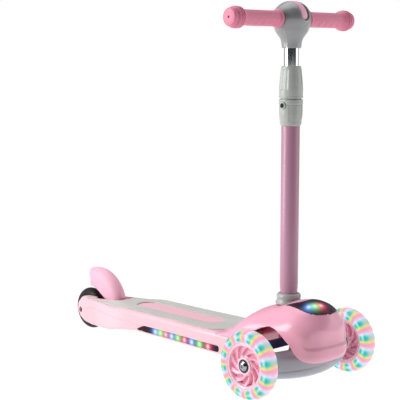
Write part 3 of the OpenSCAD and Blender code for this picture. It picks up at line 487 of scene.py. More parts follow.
lo, hi = lo_hi("inner_tube")
CHROME_IN_R, CHROME_R = 10.35, 11.85
chrome_tube = turned("chrome_tube", [(CHROME_IN_R, lo.z), (CHROME_R, lo.z), (CHROME_R, hi.z),
        (CHROME_IN_R, hi.z)], (0, STEM_Y, 0), n=160, angle=40)

BALL_R, BALL_Z = 31.5, 29.3
BAR_R = 11
SLOT_DEPTH, STRIPE_WALL = 4.5, 3.6


def hub_bulk(x, y, z):
    v, w = y - STEM_Y, z - BAR_Z
    r = np.hypot(x, v)
    ball = (np.sqrt((r / BALL_R) ** 2 + (w / BALL_Z) ** 2) - 1) * 30
    neck = r - hub_neck(w)
    f = smin(ball, neck, 9)
    f = smax(f, HUB_LO - z, 1.2)
    # a raised seam down each side of the neck
    seam = 0.5 * np.exp(-(((np.degrees(np.arctan2(v, np.abs(x)))) + 20) / 5) ** 2) * step01((-14 - w) / 8)
    return f - seam


hub_neck = curve([-50, -46, -37, -30, -24, -18, -10, 40], [15.5, 15.6, 16.4, 18.6, 22, 25, 20, -40], 2)


def slot_plan(x, z):
    """Distance to the slot's outline in the front view: straight sides and a round lower end."""
    w = z - BAR_Z - 6
    return np.hypot(np.abs(x), np.minimum(w, 0)) - 9


def over_top(y, z):
    return y - STEM_Y - 15


def hub_solid(x, y, z):
    f = hub_bulk(x, y, z)
    slot = np.maximum(np.maximum(slot_plan(x, z), over_top(y, z)), -(f + SLOT_DEPTH))
    f = smax(f, -slot, 1.0)
    v = y - STEM_Y
    f = smax(f, -(np.hypot(v, z - BAR_Z) - BAR_R), 0.6)
    bore = np.maximum(np.hypot(x, v) - CHROME_R, z - BAR_Z + 5)
    f = smax(f, -bore, 0.4)
    screw = np.maximum(np.hypot(x, z - (HUB_LO + 10)) - 4.5, -v)
    return smax(f, -screw, 0.5)


hub = net("ball_hub", hub_solid, (-34, STEM_Y - 34, HUB_LO - 3), (34, STEM_Y + 34, BAR_Z + 32), 1.15)


def insert_solid(x, y, z):
    f = hub_bulk(x, y, z) + 0.5
    side = np.hypot(np.abs(x + 2.3), np.minimum(z - BAR_Z - 5.5, 0)) - 6.4
    g = smax(f, smax(side, over_top(y, z) + 0.4, 1), 1.6)
    return smax(g, -(f + STRIPE_WALL), 0.4)


insert = net("hub_stripe", insert_solid, (-12, STEM_Y - 34, BAR_Z - 6), (8, STEM_Y + 18, BAR_Z + 32), 0.8)


GRIP_START, GRIP_END = 32, 142.5
HOLLOW_AT, HOLLOW_START, HOLLOW_GAP = 232, 52, 15


def grip_profile():
    """Half section of a grip: inner flange, waist, two ridges and the rounded end."""
    s, end = GRIP_START, GRIP_END
    line = rounded([(11, s), (14.2, s), (15.2, s + 1.6), (15, s + 3.6), (12.4, s + 7.2), (12.35, s + 12),
            (12.35, end - 34), (12.9, end - 29), (14.5, end - 25.2), (16.2, end - 22.5), (16.9, end - 20.4),
            (15.2, end - 19.2), (15.2, end - 18.2), (17.1, end - 17.2), (17.25, end - 15.4),
            (15.8, end - 14.6), (15.8, end - 13.6), (17.2, end - 12.8), (17, end - 10.6), (15.4, end - 9),
            (14.2, end - 8.6), (14.3, end - 7), (14.9, end - 6), (14.4, end - 2.6), (12.6, end - 0.7),
            (8, end), (1.8, end), (1.8, end - 6), (11, end - 6)],
            [0, 0.8, 0.8, 1.5, 2.5, 3, 8, 6, 4, 2, 0.7, 0.4, 0.4, 0.7, 0.7, 0.4, 0.4, 0.8, 1.2, 0.8, 0.5,
            0.5, 0.8, 1.6, 2, 3, 0.4, 0.2, 0.2], closed=True, n=4)
    return resample(np.vstack([line, line[:1]]), 1.0)[:-1]


def grip_warp(R, H, T):
    """Finger hollows: four ovals along the lower front of the grip."""
    d = np.degrees(T)
    body = (R > 11.6) & (R < 12.9)
    cut = 0
    across = ((d - HOLLOW_AT + 180) % 360 - 180) / 46
    for k in range(4):
        along = (H - HOLLOW_START - HOLLOW_GAP * k) / 7.2
        q = np.hypot(across, along)
        lip = np.exp(-(((q - 1.02) / 0.12) ** 2)) * (across > -1.2)
        cut = cut + 0.75 * (1 - step01((q - 0.62) / 0.38)) - 0.3 * lip
    return R - np.where(body, cut, 0), H


grips = []
for name, axis in (("bar_grip_right", "-x"), ("bar_grip_left", "x")):
    def warp(R, H, T, axis=axis):
        return grip_warp(R, H, T if axis == "x" else (math.pi - T) % (2 * math.pi))
    grips.append(turned(name, grip_profile(), (0, STEM_Y, BAR_Z), axis=axis, n=160, warp=warp, angle=60))


# --- deck, mat and strips --------------------------------------------------------

def ease(a, b, t):
    return a + (b - a) * step01(t)


STATIONS = [(STEM_Y + 47, 51), (STEM_Y + 74, 61), (STEM_Y + 130, 61), ((STEM_Y + REAR_Y) / 2, 57),
        (REAR_Y - 172, 57), (REAR_Y - 40, 32), (REAR_Y + 40, 27)]


def half_w(y):
    out = np.full(np.shape(y), float(STATIONS[0][1]))
    for (ya, wa), (yb, wb) in zip(STATIONS[:-1], STATIONS[1:]):
        out = np.where(y >= ya, ease(wa, wb, (y - ya) / (yb - ya)), out)
    return out


DECK_WALL, STRIP_DEPTH, LENS_WALL = 3.3, 2.1, 2.0
SLOT_HALF_W, POCKET_HALF_W = 15, 19.6
RIM = DECK_TOP - 1
BED = DECK_TOP - 3
BOTTOM = RIM - 36
strip_lo, strip_hi = lo_hi("side_lens_right")
STRIP_A, STRIP_B = strip_lo.y, strip_hi.y
STRIP_Z = (strip_lo.z + strip_hi.z) / 2
STRIP_R = (strip_hi.z - strip_lo.z) / 2
deck_outline = outline_field(rounded([(STEM_Y + 48, BOTTOM + 10), (STEM_Y + 60, BOTTOM),
        (STRIP_B + 6, BOTTOM), (REAR_Y - 124, BOTTOM - 12.5), (REAR_Y - 96, BOTTOM - 19.5),
        (REAR_Y - 60, BOTTOM - 23.5), (REAR_Y - 36, BOTTOM - 23.5), (REAR_Y - 12, BOTTOM - 19.5),
        (REAR_Y + 5, REAR_Z - 15), (REAR_Y + 13.8, REAR_Z - 2), (REAR_Y + 13.2, REAR_Z + 13),
        (REAR_Y - 1, REAR_Z + 27), (REAR_Y - 24, RIM - 1.7), (REAR_Y - 66, RIM), (STEM_Y + 48, RIM)],
        [8, 6, 60, 40, 40, 40, 30, 20, 14, 12, 12, 12, 30, 60, 3], n=8), step=0.75)
strip_shape = outline_field(rounded([(STRIP_A, STRIP_Z - STRIP_R), (STRIP_B - 30, STRIP_Z - STRIP_R),
        (STRIP_B, STRIP_Z - STRIP_R + 0.9), (STRIP_B - 24, STRIP_Z + STRIP_R),
        (STRIP_A, STRIP_Z + STRIP_R)], [STRIP_R * 0.98, 4, 1.2, 10, STRIP_R * 0.98], n=8))
MAT_A = lo_hi("foot_mat")[0].y - 13


def mat_outline():
    """Half of the mat from above: round at the front, and a prong beside the fender."""
    half = []
    for y in np.linspace(MAT_A + 46, REAR_Y - 62, 40):
        half.append((float(half_w(y)) - 7.5 + 3.7 * float(step01((y - REAR_Y + 175) / 80)), y))
    for t in np.linspace(0, 1, 15)[1:]:
        y = REAR_Y - 62 + 42 * t
        half.append((float(half_w(y)) - 3.8 + 0.6 * t, y))
    notch = [(23.8, REAR_Y - 21), (23.4, REAR_Y - 47), (21.6, HINGE_Y - 12), (19.6, HINGE_Y - 19),
            (11, HINGE_Y - 25), (0, HINGE_Y - 30)]
    reach = float(half_w(MAT_A + 46)) - 8
    front = [(reach * math.sin(a), MAT_A + 46 - 46 * math.cos(a)) for a in np.linspace(0, math.pi / 2,
            12)[:-1]]
    return front + half + notch


mat_shape = outline_field(mirrored(mat_outline()), step=0.75)


def sink(x, y):
    """How far the deck's top falls: down beside the fender, and over its sides at the rear."""
    along = step01((y - REAR_Y + 178) / 80) * (1 - 0.8 * step01((y - REAR_Y + 52) / 40))
    sides = step01((np.abs(x) - half_w(y) + 27) / 24) * along
    return 3.2 * step01((y - REAR_Y + 72) / 58) ** 1.5 + 5.5 * sides


def deck_solid(x, y, z):
    ax = np.abs(x)
    plan = ax - half_w(y)
    behind = step01((y - STRIP_B - 4) / 40)
    k = 2.4 + 6.6 * np.maximum(step01((z - 50) / 12), behind)
    # the rear flank steps in below a line that runs from the fork down to the strip
    line = crease(y)
    flank = step01((y - STRIP_B + 34) / 26) * (1 - step01((y - REAR_Y + 30) / 20))
    plan = plan + 1.7 * step01((line - z) / 2.6) * flank
    f = smax(plan, np.maximum(deck_outline(y, z), z - RIM + sink(x, y)), k)
    f = smax(f, -np.maximum(mat_shape(x, y) - 0.25, BED - sink(x, y) - z), 0.5)
    # wheel slot and hinge pocket
    slot = smax(smax(ax - SLOT_HALF_W, REAR_Y - 54 - y, 6), 10 - z, 1)
    f = smax(f, -slot, 1.2)
    pocket = smax(smax(ax - POCKET_HALF_W, np.maximum(HINGE_Y - 18 - y, y - REAR_Y + 38), 3),
            HINGE_Z - 13 - z, 3)
    f = smax(f, -pocket, 1.4)
    for_strip = smax(strip_shape(y, z) - 0.1, -(ax - half_w(y) + STRIP_DEPTH), 0.3)
    f = smax(f, -for_strip, 0.5)
    r = np.hypot(y - REAR_Y, z - REAR_Z)
    f = smax(f, -np.maximum(r - 5.2, 24 - ax), 1.2)
    f = np.maximum(f, -(r - 4))
    inside = np.maximum(np.maximum(ax - half_w(y) + DECK_WALL, z - BED + 3),
            np.maximum(STEM_Y + 62 - y, y - REAR_Y + 206))
    return smax(f, -inside, 0.4)


crease = curve([40, 80, 110, 150, 200, 260, 300], [44, 50, 52.5, 52, 50, 50, 50], 8)
deck = net("deck_body", deck_solid, (-63, STEM_Y + 45, 16), (63, REAR_Y + 17, 76), 1.6)


def lens_solid(side):
    def f(x, y, z):
        out = side * x - half_w(y)
        g = smax(strip_shape(y, z) + 0.12, out + 0.15, 0.9)
        return np.maximum(g, -(out + LENS_WALL))
    return f


lenses = []
for name, side in (("side_strip_right", -1), ("side_strip_left", 1)):
    xs = sorted((side * 52, side * 63))
    lenses.append(net(name, lens_solid(side), (xs[0], STRIP_A - 2, STRIP_Z - 8),
            (xs[1], STRIP_B + 2, STRIP_Z + 8), 0.9))


def plate(name, loops, z0, z1, bevel):
    """A flat plate between two heights, with round edges, from an outline and its holes."""
    cu = bpy.data.curves.new(name, "CURVE")
    cu.dimensions = "2D"
    cu.fill_mode = "BOTH"
    cu.extrude = ((z1 - z0) / 2 - bevel) * MM
    cu.bevel_depth = bevel * MM
    cu.bevel_resolution = 2
    cu.offset = -bevel * MM
    for loop in loops:
        sp = cu.splines.new("POLY")
        sp.points.add(len(loop) - 1)
        for p, (x, y) in zip(sp.points, loop):
            p.co = (x * MM, y * MM, 0, 1)
        sp.use_cyclic_u = True
    ob = bpy.data.objects.new(name, cu)
    bpy.context.scene.collection.objects.link(ob)
    ob.location = (0, 0, (z0 + z1) / 2 * MM)
    bpy.context.view_layer.update()
    me = bpy.data.meshes.new_from_object(ob.evaluated_get(bpy.context.evaluated_depsgraph_get()))
    me.transform(ob.matrix_world)
    bpy.data.objects.remove(ob)
    me.name = name
    me.shade_smooth()
    me.set_sharp_from_angle(angle=math.radians(50))
    new = bpy.data.objects.new(name, me)
    bpy.context.scene.collection.objects.link(new)
    return new


panel_lo, panel_hi = lo_hi("mat_panel")


def stadium(half, y0, y1, n=24):
    return ([(half * math.cos(a), y1 - half + half * math.sin(a)) for a in np.linspace(0, math.pi,
            n)] + [(half * math.cos(a), y0 + half + half * math.sin(a)) for a in np.linspace(math.pi,
            2 * math.pi, n)])


hole = outline_field(np.array(stadium(21.05, panel_lo.y - 0.05, panel_hi.y + 0.05)), step=0.75)


def mat_solid(x, y, z):
    fall = sink(x, y)
    f = smax(mat_shape(x, y) + 0.1, z - DECK_TOP + fall, 1.2)
    return smax(np.maximum(f, BED + 0.05 - fall - z), -hole(x, y), 0.9)


mat = net("deck_mat", mat_solid, (-62, MAT_A - 3, BED - 12), (62, REAR_Y - 15, DECK_TOP + 2), 1.3)
panel = plate("deck_panel", [stadium(20.9, panel_lo.y, panel_hi.y)], BED + 0.02, BED + 1, 0.4)

# --- fender ---------------------------------------------------------------------

ARC_Y, ARC_Z, ARC_R = REAR_Y - 26, REAR_Z + 11, 74
CROWN, FENDER_HALF_W, FENDER_WALL = 22, 17, 3.0
BARREL_R, HINGE_HOLE_R = 7, 3.05


def fender_bulk(x, y, z, inset=0.0):
    rho = np.hypot(y - ARC_Y, z - ARC_Z) + inset
    ax = np.abs(x) + inset
    wide = FENDER_HALF_W - 2.4 * step01((y - HINGE_Y - 20) / 70) - 11 * np.clip((y - REAR_Y + 12) / 31, 0,
            1.15) ** 1.4
    return (np.sqrt(np.maximum(rho - ARC_R + CROWN, 0) ** 2 / CROWN**2 + (ax / wide) ** 2) - 1) * wide


def fender_edge(y, z):
    """The lower edge, hollow from the hinge to the tip."""
    a, b = np.array([HINGE_Y + 37, HINGE_Z + 6.5]), np.array([REAR_Y + 22, REAR_Z + 75])
    d = (b - a) / np.linalg.norm(b - a)
    along = (y - a[0]) * d[0] + (z - a[1]) * d[1]
    return (y - a[0]) * d[1] - (z - a[1]) * d[0] + 5.5 * step01((along - 28) / 46)


def fender_solid(x, y, z):
    outer = fender_bulk(x, y, z)
    low = fender_edge(y, z)
    side = smax(low, HINGE_Z - 7 + np.clip(y - HINGE_Y - 8, 0, 40) * 0.42 - z, 4)
    front = HINGE_Y - 14 - y
    f = smax(smax(outer, side, 12), front, 3)
    inner = fender_bulk(x, y, z, FENDER_WALL)
    f = smax(f, -inner, 1.2)
    barrel = np.maximum(np.hypot(y - HINGE_Y, z - HINGE_Z) - BARREL_R, np.abs(x) - 17.4)
    f = smin(f, barrel, 2.5)
    # the brake shoe under the shell, shaped to the tyre
    over_tyre = REAR_Z + 7.05 - np.hypot(y - REAR_Y, z - REAR_Z)
    rib = np.maximum(np.maximum(np.abs(x) - 7, np.abs(y - REAR_Y + 15) - 12),
            np.maximum(fender_bulk(x, y, z, 2.5), over_tyre))
    f = smin(f, smax(rib, REAR_Z - z, 0.5), 0.8)
    f = smax(f, -(np.hypot(y - HINGE_Y, z - HINGE_Z) - HINGE_HOLE_R), 0.3)
    spring = np.maximum(np.abs(x) - 8, np.maximum(y - HINGE_Y - 9, z - HINGE_Z - 9))
    return smax(f, -spring, 0.8)


fender = net("rear_fender", fender_solid, (-22, HINGE_Y - 17, HINGE_Z - 10), (22, REAR_Y + 26, ARC_Z + 77),
        1.25)

# --- front beam -----------------------------------------------------------------

BEAM_HALF = lo_hi("front_axle_beam")[1].x
PIVOT_RISE, PIVOT_R, BUSH_R = 39, 11, 7
KING_INSET = 32


def beam_solid(x, y, z):
    u = x / BEAM_HALF
    v, w = y - FRONT_Y, z - FRONT_Z
    front = -36 + 20 * u**2
    back = 14 - 3 * u**2
    low = -33 + 8 * u**2
    top = 5 + 9 * u**2
    # a rounded section: the front face leans back towards the top
    lean = 5.5 * np.clip((w - low) / (top - low), 0, 1) ** 2
    f = smax(smax(front + lean - v, v - back, 8), smax(low - w, w - top, 8), 9)
    f = smax(f, np.abs(x) - BEAM_HALF, 6)
    # a crease along the front, and the hollow above it
    line = low + 12.5 - 4 * u**2
    f = f + 0.9 * step01((w - line) / 2.2) * step01((-v - 8) / 10) * (1 - step01((np.abs(u) - 0.9) / 0.1))
    riser = np.maximum(np.maximum(np.abs(x) - 13, np.abs(v - 0.5) - 12.5),
            np.maximum(-20 - w, w - PIVOT_RISE))
    f = smin(f, riser, 4)
    tube = np.maximum(np.hypot(x, w - PIVOT_RISE) - PIVOT_R, np.maximum(-12.6 - v, v - 35.6))
    f = smin(f, tube, 1.5)
    f = smax(f, -np.maximum(np.hypot(x, w - PIVOT_RISE) - BUSH_R, np.maximum(-30 - v, v - 54)), 0.4)
    ax = np.abs(x) - (WHEEL_X - KING_INSET)
    mouth = np.maximum(np.maximum(-13 - ax, np.abs(v) - 40), np.abs(w) - 9.3)
    f = smax(f, -mouth, 1.2)
    pin = np.hypot(ax, v)
    f = smax(f, -(pin - 4), 0.4)
    return smax(f, -np.maximum(pin - 6.9, 12 - w), 0.6)


beam = net("bow_beam", beam_solid, (-BEAM_HALF - 3, FRONT_Y - 40, FRONT_Z - 37),
        (BEAM_HALF + 3, FRONT_Y + 40, FRONT_Z + 54), 1.5)

# --- wheels ---------------------------------------------------------------------

RIM_R = 36.5
VANES = 10
AXLE_R, BEARING_W = 3.95, 7.0


def hub_height(R, T):
    """Height of a wheel core's face over its middle plane: curved vanes with pockets between them."""
    r = np.clip(R, 11, RIM_R)
    swirl = 0.85 * np.clip((r - 12.5) / 20, 0, 1.1) ** 0.9
    ph = ((T - swirl) * VANES / (2 * math.pi)) % 1.0
    width = 2 * math.pi * r / VANES
    a = ph * width
    b = (1 - ph) * width
    ridge = np.exp(-((np.minimum(a, b)) / 0.95) ** 2)
    vane = 1 - step01((a - 0.42 * width) / 2.2)
    vane = np.maximum(vane, 1 - step01(b / 1.6))
    body = 5.6 + 3.6 * vane - 1.4 * np.clip(a / width, 0, 0.45) / 0.45
    mid_zone = step01((r - 15.5) / 2.2) * (1 - step01((r - 30.2) / 1.8))
    h = 9.2 * (1 - mid_zone) + body * mid_zone
    ridge_zone = step01((r - 13.6) / 1.5) * (1 - step01((r - 32) / 1.4))
    h = h + 1.5 * ridge * ridge_zone
    boss = 1 - step01((r - 13.2) / 1.4)
    h = h + (11.9 - h) * boss
    rim = step01((r - 31.8) / 1.2)
    h = h + (11.6 - h) * rim
    groove = 0.9 * np.exp(-((r - 34.2) / 0.55) ** 2)
    return h - groove


hubs, tyres, bearings, bolts = [], [], [], []
face = [(r, 12.0) for r in np.concatenate([[11.02, 11.3], np.arange(12, 36, 0.55), [36.1]])]
hub_loop = face + [(36.5, 11.2), (36.5, 4), (36.5, -4), (36.5, -11.2)] + [(r, -h) for r,
        h in face[::-1]] + [(11.02, -11), (11.02, -5), (9, -5), (9, 5), (11.02, 5), (11.02, 11)]
tyre_line = [(36.5, -11), (36.5, -4.3), (44.5, -4.3), (44.5, 4.3), (36.5, 4.3), (36.5, 11), (37.2, 12.2),
        (38.4, 12.9), (39, 12.7), (39.8, 13.35)]
for a in np.linspace(86, -86, 34):
    a = math.radians(a)
    tyre_line.append((45.4 + 9.6 * math.copysign(abs(math.cos(a)) ** 0.8, math.cos(a)),
            13.5 * math.copysign(abs(math.sin(a)) ** 0.85, math.sin(a))))
tyre_line += [(39.8, -13.35), (39, -12.7), (38.4, -12.9), (37.2, -12.2)]


def bearing_ring(name, x0, y, z):
    """A 22 mm bearing: two races with a sunk shield between them."""
    f = [(4.02, 0.4), (4.4, 0), (6, 0), (6.25, 0.35), (6.3, 0.9), (8.8, 0.9), (8.9, 0.35), (9.15, 0),
            (10.5, 0), (10.98, 0.45)]
    loop = f + [(r, BEARING_W - h) for r, h in f[::-1]]
    return turned(name, [(r, x0 + h) for r, h in loop], (0, y, z), axis="x", n=72, angle=35)


for tag, side in (("right", -1), ("left", 1)):
    axis = "-x" if side < 0 else "x"
    centre = (side * WHEEL_X, FRONT_Y, FRONT_Z)

    def warp(R, H, T, side=side):
        face = np.abs(H) > 11.95
        # seen from outside the right wheel, the vanes sweep clockwise; the left one is its mirror image
        return R, np.where(face, np.sign(H) * hub_height(R, -T), H)
    hubs.append(turned("wheel_core_" + tag, hub_loop, centre, axis=axis, n=420, warp=warp, angle=50))
    tyres.append(turned("glow_tyre_" + tag, tyre_line, centre, axis=axis, n=160, angle=50))
    x = side * WHEEL_X
    bearings.append(joined("wheel_bearings_" + tag, [bearing_ring("b1", x - 12, FRONT_Y, FRONT_Z),
            bearing_ring("b2", x + 5, FRONT_Y, FRONT_Z)]))
    start = 5 - KING_INSET
    head = 12.2
    bolts.append(turned("axle_bolt_" + tag, rounded([(0, start), (AXLE_R, start), (AXLE_R, head),
            (7.7, head), (7.7, head + 0.9), (6.9, head + 1.3), (6.2, head + 2.3), (4.6, head + 3.4),
            (2.6, head + 3.9), (2.2, head + 3.2), (2.0, head + 2.2), (0, head + 2.2)],
            [0, 0, 0, 0.3, 0.4, 0.5, 1.5, 3, 0.4, 0.3, 0.2, 0], closed=False), centre, axis=axis, n=72,
            closed=False, angle=40))

rear_line = [(24, -11.6), (24.4, -12), (28, -12)] + [(28.4 + (REAR_Z - 28.4) * math.cos(a),
        12 * math.sin(a)) for a in np.linspace(-1.5, 1.5, 31)]
rear_line += [(28, 12), (24.4, 12), (24, 11.6)]
rear_tyre = turned("small_tyre", rear_line, (0, REAR_Y, REAR_Z), axis="x", n=128, angle=50)
core = [(11.02, 12), (13.4, 12), (13.9, 11.6), (14, 6.2), (14.8, 5.2), (20.6, 5.2), (21.4, 6), (21.6, 11.6),
        (22, 12), (23.9, 12)]


def rear_warp(R, H, T):
    web = (np.abs(H) < 6.1) & (R > 14.5)
    rib = 1 - step01((np.abs(((T * 6 / (2 * math.pi)) % 1) - 0.5) * 2 * R - 1.5) / 1.5)
    return R, np.where(web & (np.abs(H) > 5.0), H + np.sign(H) * 4.5 * rib, H)


core_line = resample(np.array(core, float), 0.9)
core_loop = np.vstack([core_line, core_line[::-1] * [1, -1], [(11.02, -5), (7, -5), (7, 5), (11.02, 5)]])
rear_core = turned("small_core", core_loop, (0, REAR_Y, REAR_Z), axis="x", n=144, warp=rear_warp, angle=40)
rear_bearings = joined("small_bearings", [bearing_ring("b3", -12, REAR_Y, REAR_Z),
        bearing_ring("b4", 5, REAR_Y, REAR_Z)])
rear_axle = turned("rear_bolt", rounded([(0, -25.6), (2.4, -25.6), (4.6, -25), (4.6, -24), (AXLE_R, -24),
        (AXLE_R, 24), (4.6, 24), (4.6, 25), (2.4, 25.6), (0, 25.6)], [0, 0.3, 0.3, 0, 0, 0, 0, 0.3, 0.3, 0],
        closed=False), (0, REAR_Y, REAR_Z), axis="x", n=48, closed=False)


# --- materials ------------------------------------------------------------------

class Mat:
    """A node material: a principled shader, and short ways to wire what drives it."""

    def __init__(self, name):
        self.mat = bpy.data.materials.new(name)
        self.mat.use_nodes = True
        self.nt = self.mat.node_tree
        self.nt.nodes.clear()
        self.out = self.nt.nodes.new("ShaderNodeOutputMaterial")
        self.bsdf = self.nt.nodes.new("ShaderNodeBsdfPrincipled")
        self.nt.links.new(self.bsdf.outputs[0], self.out.inputs[0])
        self._co = None

    def node(self, kind, **props):
        n = self.nt.nodes.new(kind)
        for k, v in props.items():
            setattr(n, k, v)
        return n

    def put(self, socket, value):
        if isinstance(value, bpy.types.NodeSocket):
            self.nt.links.new(value, socket)
        else:
            socket.default_value = value

    def set(self, **vals):
        names = {"color": "Base Color", "rough": "Roughness", "metal": "Metallic", "coat": "Coat Weight",
                "coat_rough": "Coat Roughness", "emit": "Emission Color", "power": "Emission Strength",
                "normal": "Normal", "spec": "Specular IOR Level"}
        for k, v in vals.items():
            if k in ("color", "emit") and not isinstance(v, bpy.types.NodeSocket):
                v = (*v[:3], 1)
            self.put(self.bsdf.inputs[names[k]], v)
        return self

    @property
    def co(self):
        if self._co is None:
            self._co = self.node("ShaderNodeTexCoord").outputs["Object"]
        return self._co

    def math(self, op, a, b=0.0, clamp=False):
        n = self.node("ShaderNodeMath", operation=op, use_clamp=clamp)
        self.put(n.inputs[0], a)
        self.put(n.inputs[1], b)
        return n.outputs[0]

    def xyz(self):
        n = self.node("ShaderNodeSeparateXYZ")
        self.put(n.inputs[0], self.co)
        return n.outputs

    def noise(self, scale, detail=3.0, rough=0.55, co=None):
        n = self.node("ShaderNodeTexNoise")
        self.put(n.inputs["Vector"], co if co is not None else self.co)
        n.inputs["Scale"].default_value = scale
        n.inputs["Detail"].default_value = detail
        n.inputs["Roughness"].default_value = rough
        return n.outputs["Fac"]

    def remap(self, value, lo, hi, a, b):
        n = self.node("ShaderNodeMapRange")
        for s, v in zip(n.inputs[:5], (value, lo, hi, a, b)):
            self.put(s, v)
        return n.outputs[0]

    def ramp(self, value, stops, mode="LINEAR"):
        n = self.node("ShaderNodeValToRGB")
        n.color_ramp.interpolation = mode
        e = n.color_ramp.elements
        while len(e) > 1:
            e.remove(e[-1])
        e[0].position, e[0].color = stops[0][0], (*stops[0][1], 1)
        for p, c in stops[1:]:
            k = e.new(p)
            k.color = (*c, 1)
        self.put(n.inputs[0], value)
        return n.outputs[0]

    def mix(self, fac, a, b):
        n = self.node("ShaderNodeMix", data_type="RGBA")
        self.put(n.inputs[0], fac)
        for s, v in ((n.inputs[6], a), (n.inputs[7], b)):
            self.put(s, v if isinstance(v, bpy.types.NodeSocket) else (*v[:3], 1))
        return n.outputs[2]

    def bump(self, height, strength, distance):
        n = self.node("ShaderNodeBump")
        n.inputs["Strength"].default_value = strength
        n.inputs["Distance"].default_value = distance
        self.put(n.inputs["Height"], height)
        return n.outputs[0]


def plastic(name, colour, rough, grain=900, bump=0.12, depth=0.00012, vary=0.015, coat=0.0, **fixed):
    """Moulded plastic: slight shade drift, a fine skin, and roughness that wanders with handling marks."""
    m = Mat(name)
    drift = m.noise(9, 2)
    dark = tuple(c * (1 - vary) for c in colour)
    light = tuple(min(1, c * (1 + vary * 0.6)) for c in colour)
    m.set(color=m.ramp(drift, [(0.35, dark), (0.65, light)]), coat=coat)
    marks = m.noise(55, 5, 0.7)
    m.set(rough=m.remap(marks, 0.3, 0.75, rough - 0.01, rough + 0.02))
    m.set(normal=m.bump(m.noise(grain, 2), bump, depth))
    if coat:
        m.set(coat_rough=0.12)
    m.set(**fixed)
    return m.mat


pink = plastic("pink_gloss", (0.93, 0.42, 0.56), 0.30, grain=420, bump=0.03, coat=0.35)
# The deck uses the cover's pink painted lighter: a painted sheen of its brightly lit sides.
pink_deck_painted_sheen = plastic("pink_deck_painted_sheen", (0.93, 0.53, 0.60), 0.32, grain=420, bump=0.03, coat=0.35)
pink_soft = plastic("pink_satin", (0.91, 0.47, 0.60), 0.48, grain=600, bump=0.08)
panel_pink = plastic("pink_panel", (0.90, 0.52, 0.60), 0.5, grain=300, bump=0.3)
deep = plastic("deep_pink", (0.60, 0.10, 0.18), 0.4)
grey = plastic("light_grey", (0.42, 0.435, 0.415), 0.36, grain=700, bump=0.10, vary=0.012, coat=0.1)
beam_grey = plastic("beam_grey", (0.50, 0.52, 0.58), 0.33, grain=500, bump=0.06, vary=0.012, coat=0.15)
hub_grey = plastic("hub_grey", (0.30, 0.305, 0.31), 0.34, grain=700, bump=0.06, vary=0.01, coat=0.15,
        metal=0.35)
black = plastic("black_satin", (0.012, 0.012, 0.013), 0.42)
# The steering link's navy colour is painted shade plus painted blue light from the lamps, not a known
# colour of the part.
painted_shade_navy = plastic("painted_shade_navy", (0.012, 0.018, 0.10), 0.35)
white = plastic("natural_white", (0.72, 0.72, 0.68), 0.4, vary=0.012)
button_black = plastic("button_black", (0.004, 0.004, 0.0045), 0.5, spec=0.15)

m = Mat("mauve_powder")
m.set(color=m.ramp(m.noise(7, 2), [(0.35, (0.48, 0.235, 0.335)), (0.65, (0.52, 0.26, 0.365))]),
        rough=m.remap(m.noise(300, 4, 0.7), 0.3, 0.7, 0.30, 0.42),
        normal=m.bump(m.noise(1400, 2), 0.10, 0.0002), coat=0.1, coat_rough=0.2)
mauve = m.mat

m = Mat("mat_rubber")
speck = m.noise(700, 2, 0.5)
m.set(color=m.mix(m.remap(m.noise(14, 3), 0.3, 0.7, 0, 1), (0.53, 0.53, 0.50), (0.58, 0.58, 0.55)),
        rough=m.remap(speck, 0.3, 0.7, 0.55, 0.75), normal=m.bump(m.math("ADD", speck, m.noise(2400, 1)),
        0.35, 0.00025))
rubber_grey = m.mat

m = Mat("grip_rubber")
g = m.noise(900, 2)
m.set(color=m.mix(m.remap(m.noise(22, 3), 0.3, 0.7, 0, 1), (0.70, 0.20, 0.315), (0.74, 0.22, 0.335)),
        rough=m.remap(g, 0.3, 0.7, 0.42, 0.58), normal=m.bump(g, 0.25, 0.00018))
grip_mat = m.mat

m = Mat("chrome_plate")
streak = m.node("ShaderNodeMapping")
m.put(streak.inputs[0], m.co)
streak.inputs["Scale"].default_value = (1, 1, 0.06)
m.set(color=(0.80, 0.81, 0.83), metal=1.0, rough=m.remap(m.noise(260, 4, 0.6, streak.outputs[0]), 0.3, 0.75,
        0.035, 0.09), normal=m.bump(m.noise(30, 2, 0.4, streak.outputs[0]), 0.03, 0.0004))
chrome = m.mat


def mottled(name, tones, scale, detail, fine, gloss, skin=None, **fixed):
    """Metal or rubber: two tones in soft patches, a roughness that wanders, and a fine skin."""
    m = Mat(name)
    m.set(color=m.mix(m.remap(m.noise(scale, detail), 0.3, 0.7, 0, 1), *tones), **fixed)
    m.set(rough=m.remap(m.noise(*fine), 0.3, 0.7, *gloss))
    if skin:
        grain, bump, depth = skin
        m.set(normal=m.bump(m.noise(grain, 2), bump, depth))
    return m.mat


FINE = (420, 4, 0.7)
steel = mottled("zinc_steel", ((0.50, 0.51, 0.53), (0.62, 0.63, 0.65)), 60, 4, FINE, (0.22, 0.38),
        (1200, 0.08, 0.0001), metal=1.0)
dark_steel = mottled("bearing_steel", ((0.055, 0.06, 0.075), (0.075, 0.08, 0.095)), 80, 3, FINE,
        (0.30, 0.40), metal=0.7)
bolt_steel = mottled("bolt_steel", ((0.34, 0.37, 0.41), (0.40, 0.43, 0.47)), 80, 3, FINE, (0.14, 0.22),
        metal=1.0)
tyre_black = mottled("tyre_rubber", ((0.004, 0.004, 0.004), (0.007, 0.007, 0.0065)), 40, 4, (300, 4),
        (0.42, 0.55), (1500, 0.2, 0.0002), spec=0.25)

m = Mat("board_green")
traces = m.node("ShaderNodeTexBrick")
m.put(traces.inputs["Vector"], m.co)
traces.inputs["Scale"].default_value = 240
m.set(color=m.mix(m.math("MULTIPLY", traces.outputs["Fac"], 0.6), (0.01, 0.12, 0.05), (0.05, 0.30, 0.12)),
        rough=m.remap(m.noise(200, 3), 0.3, 0.7, 0.25, 0.4))
board = m.mat

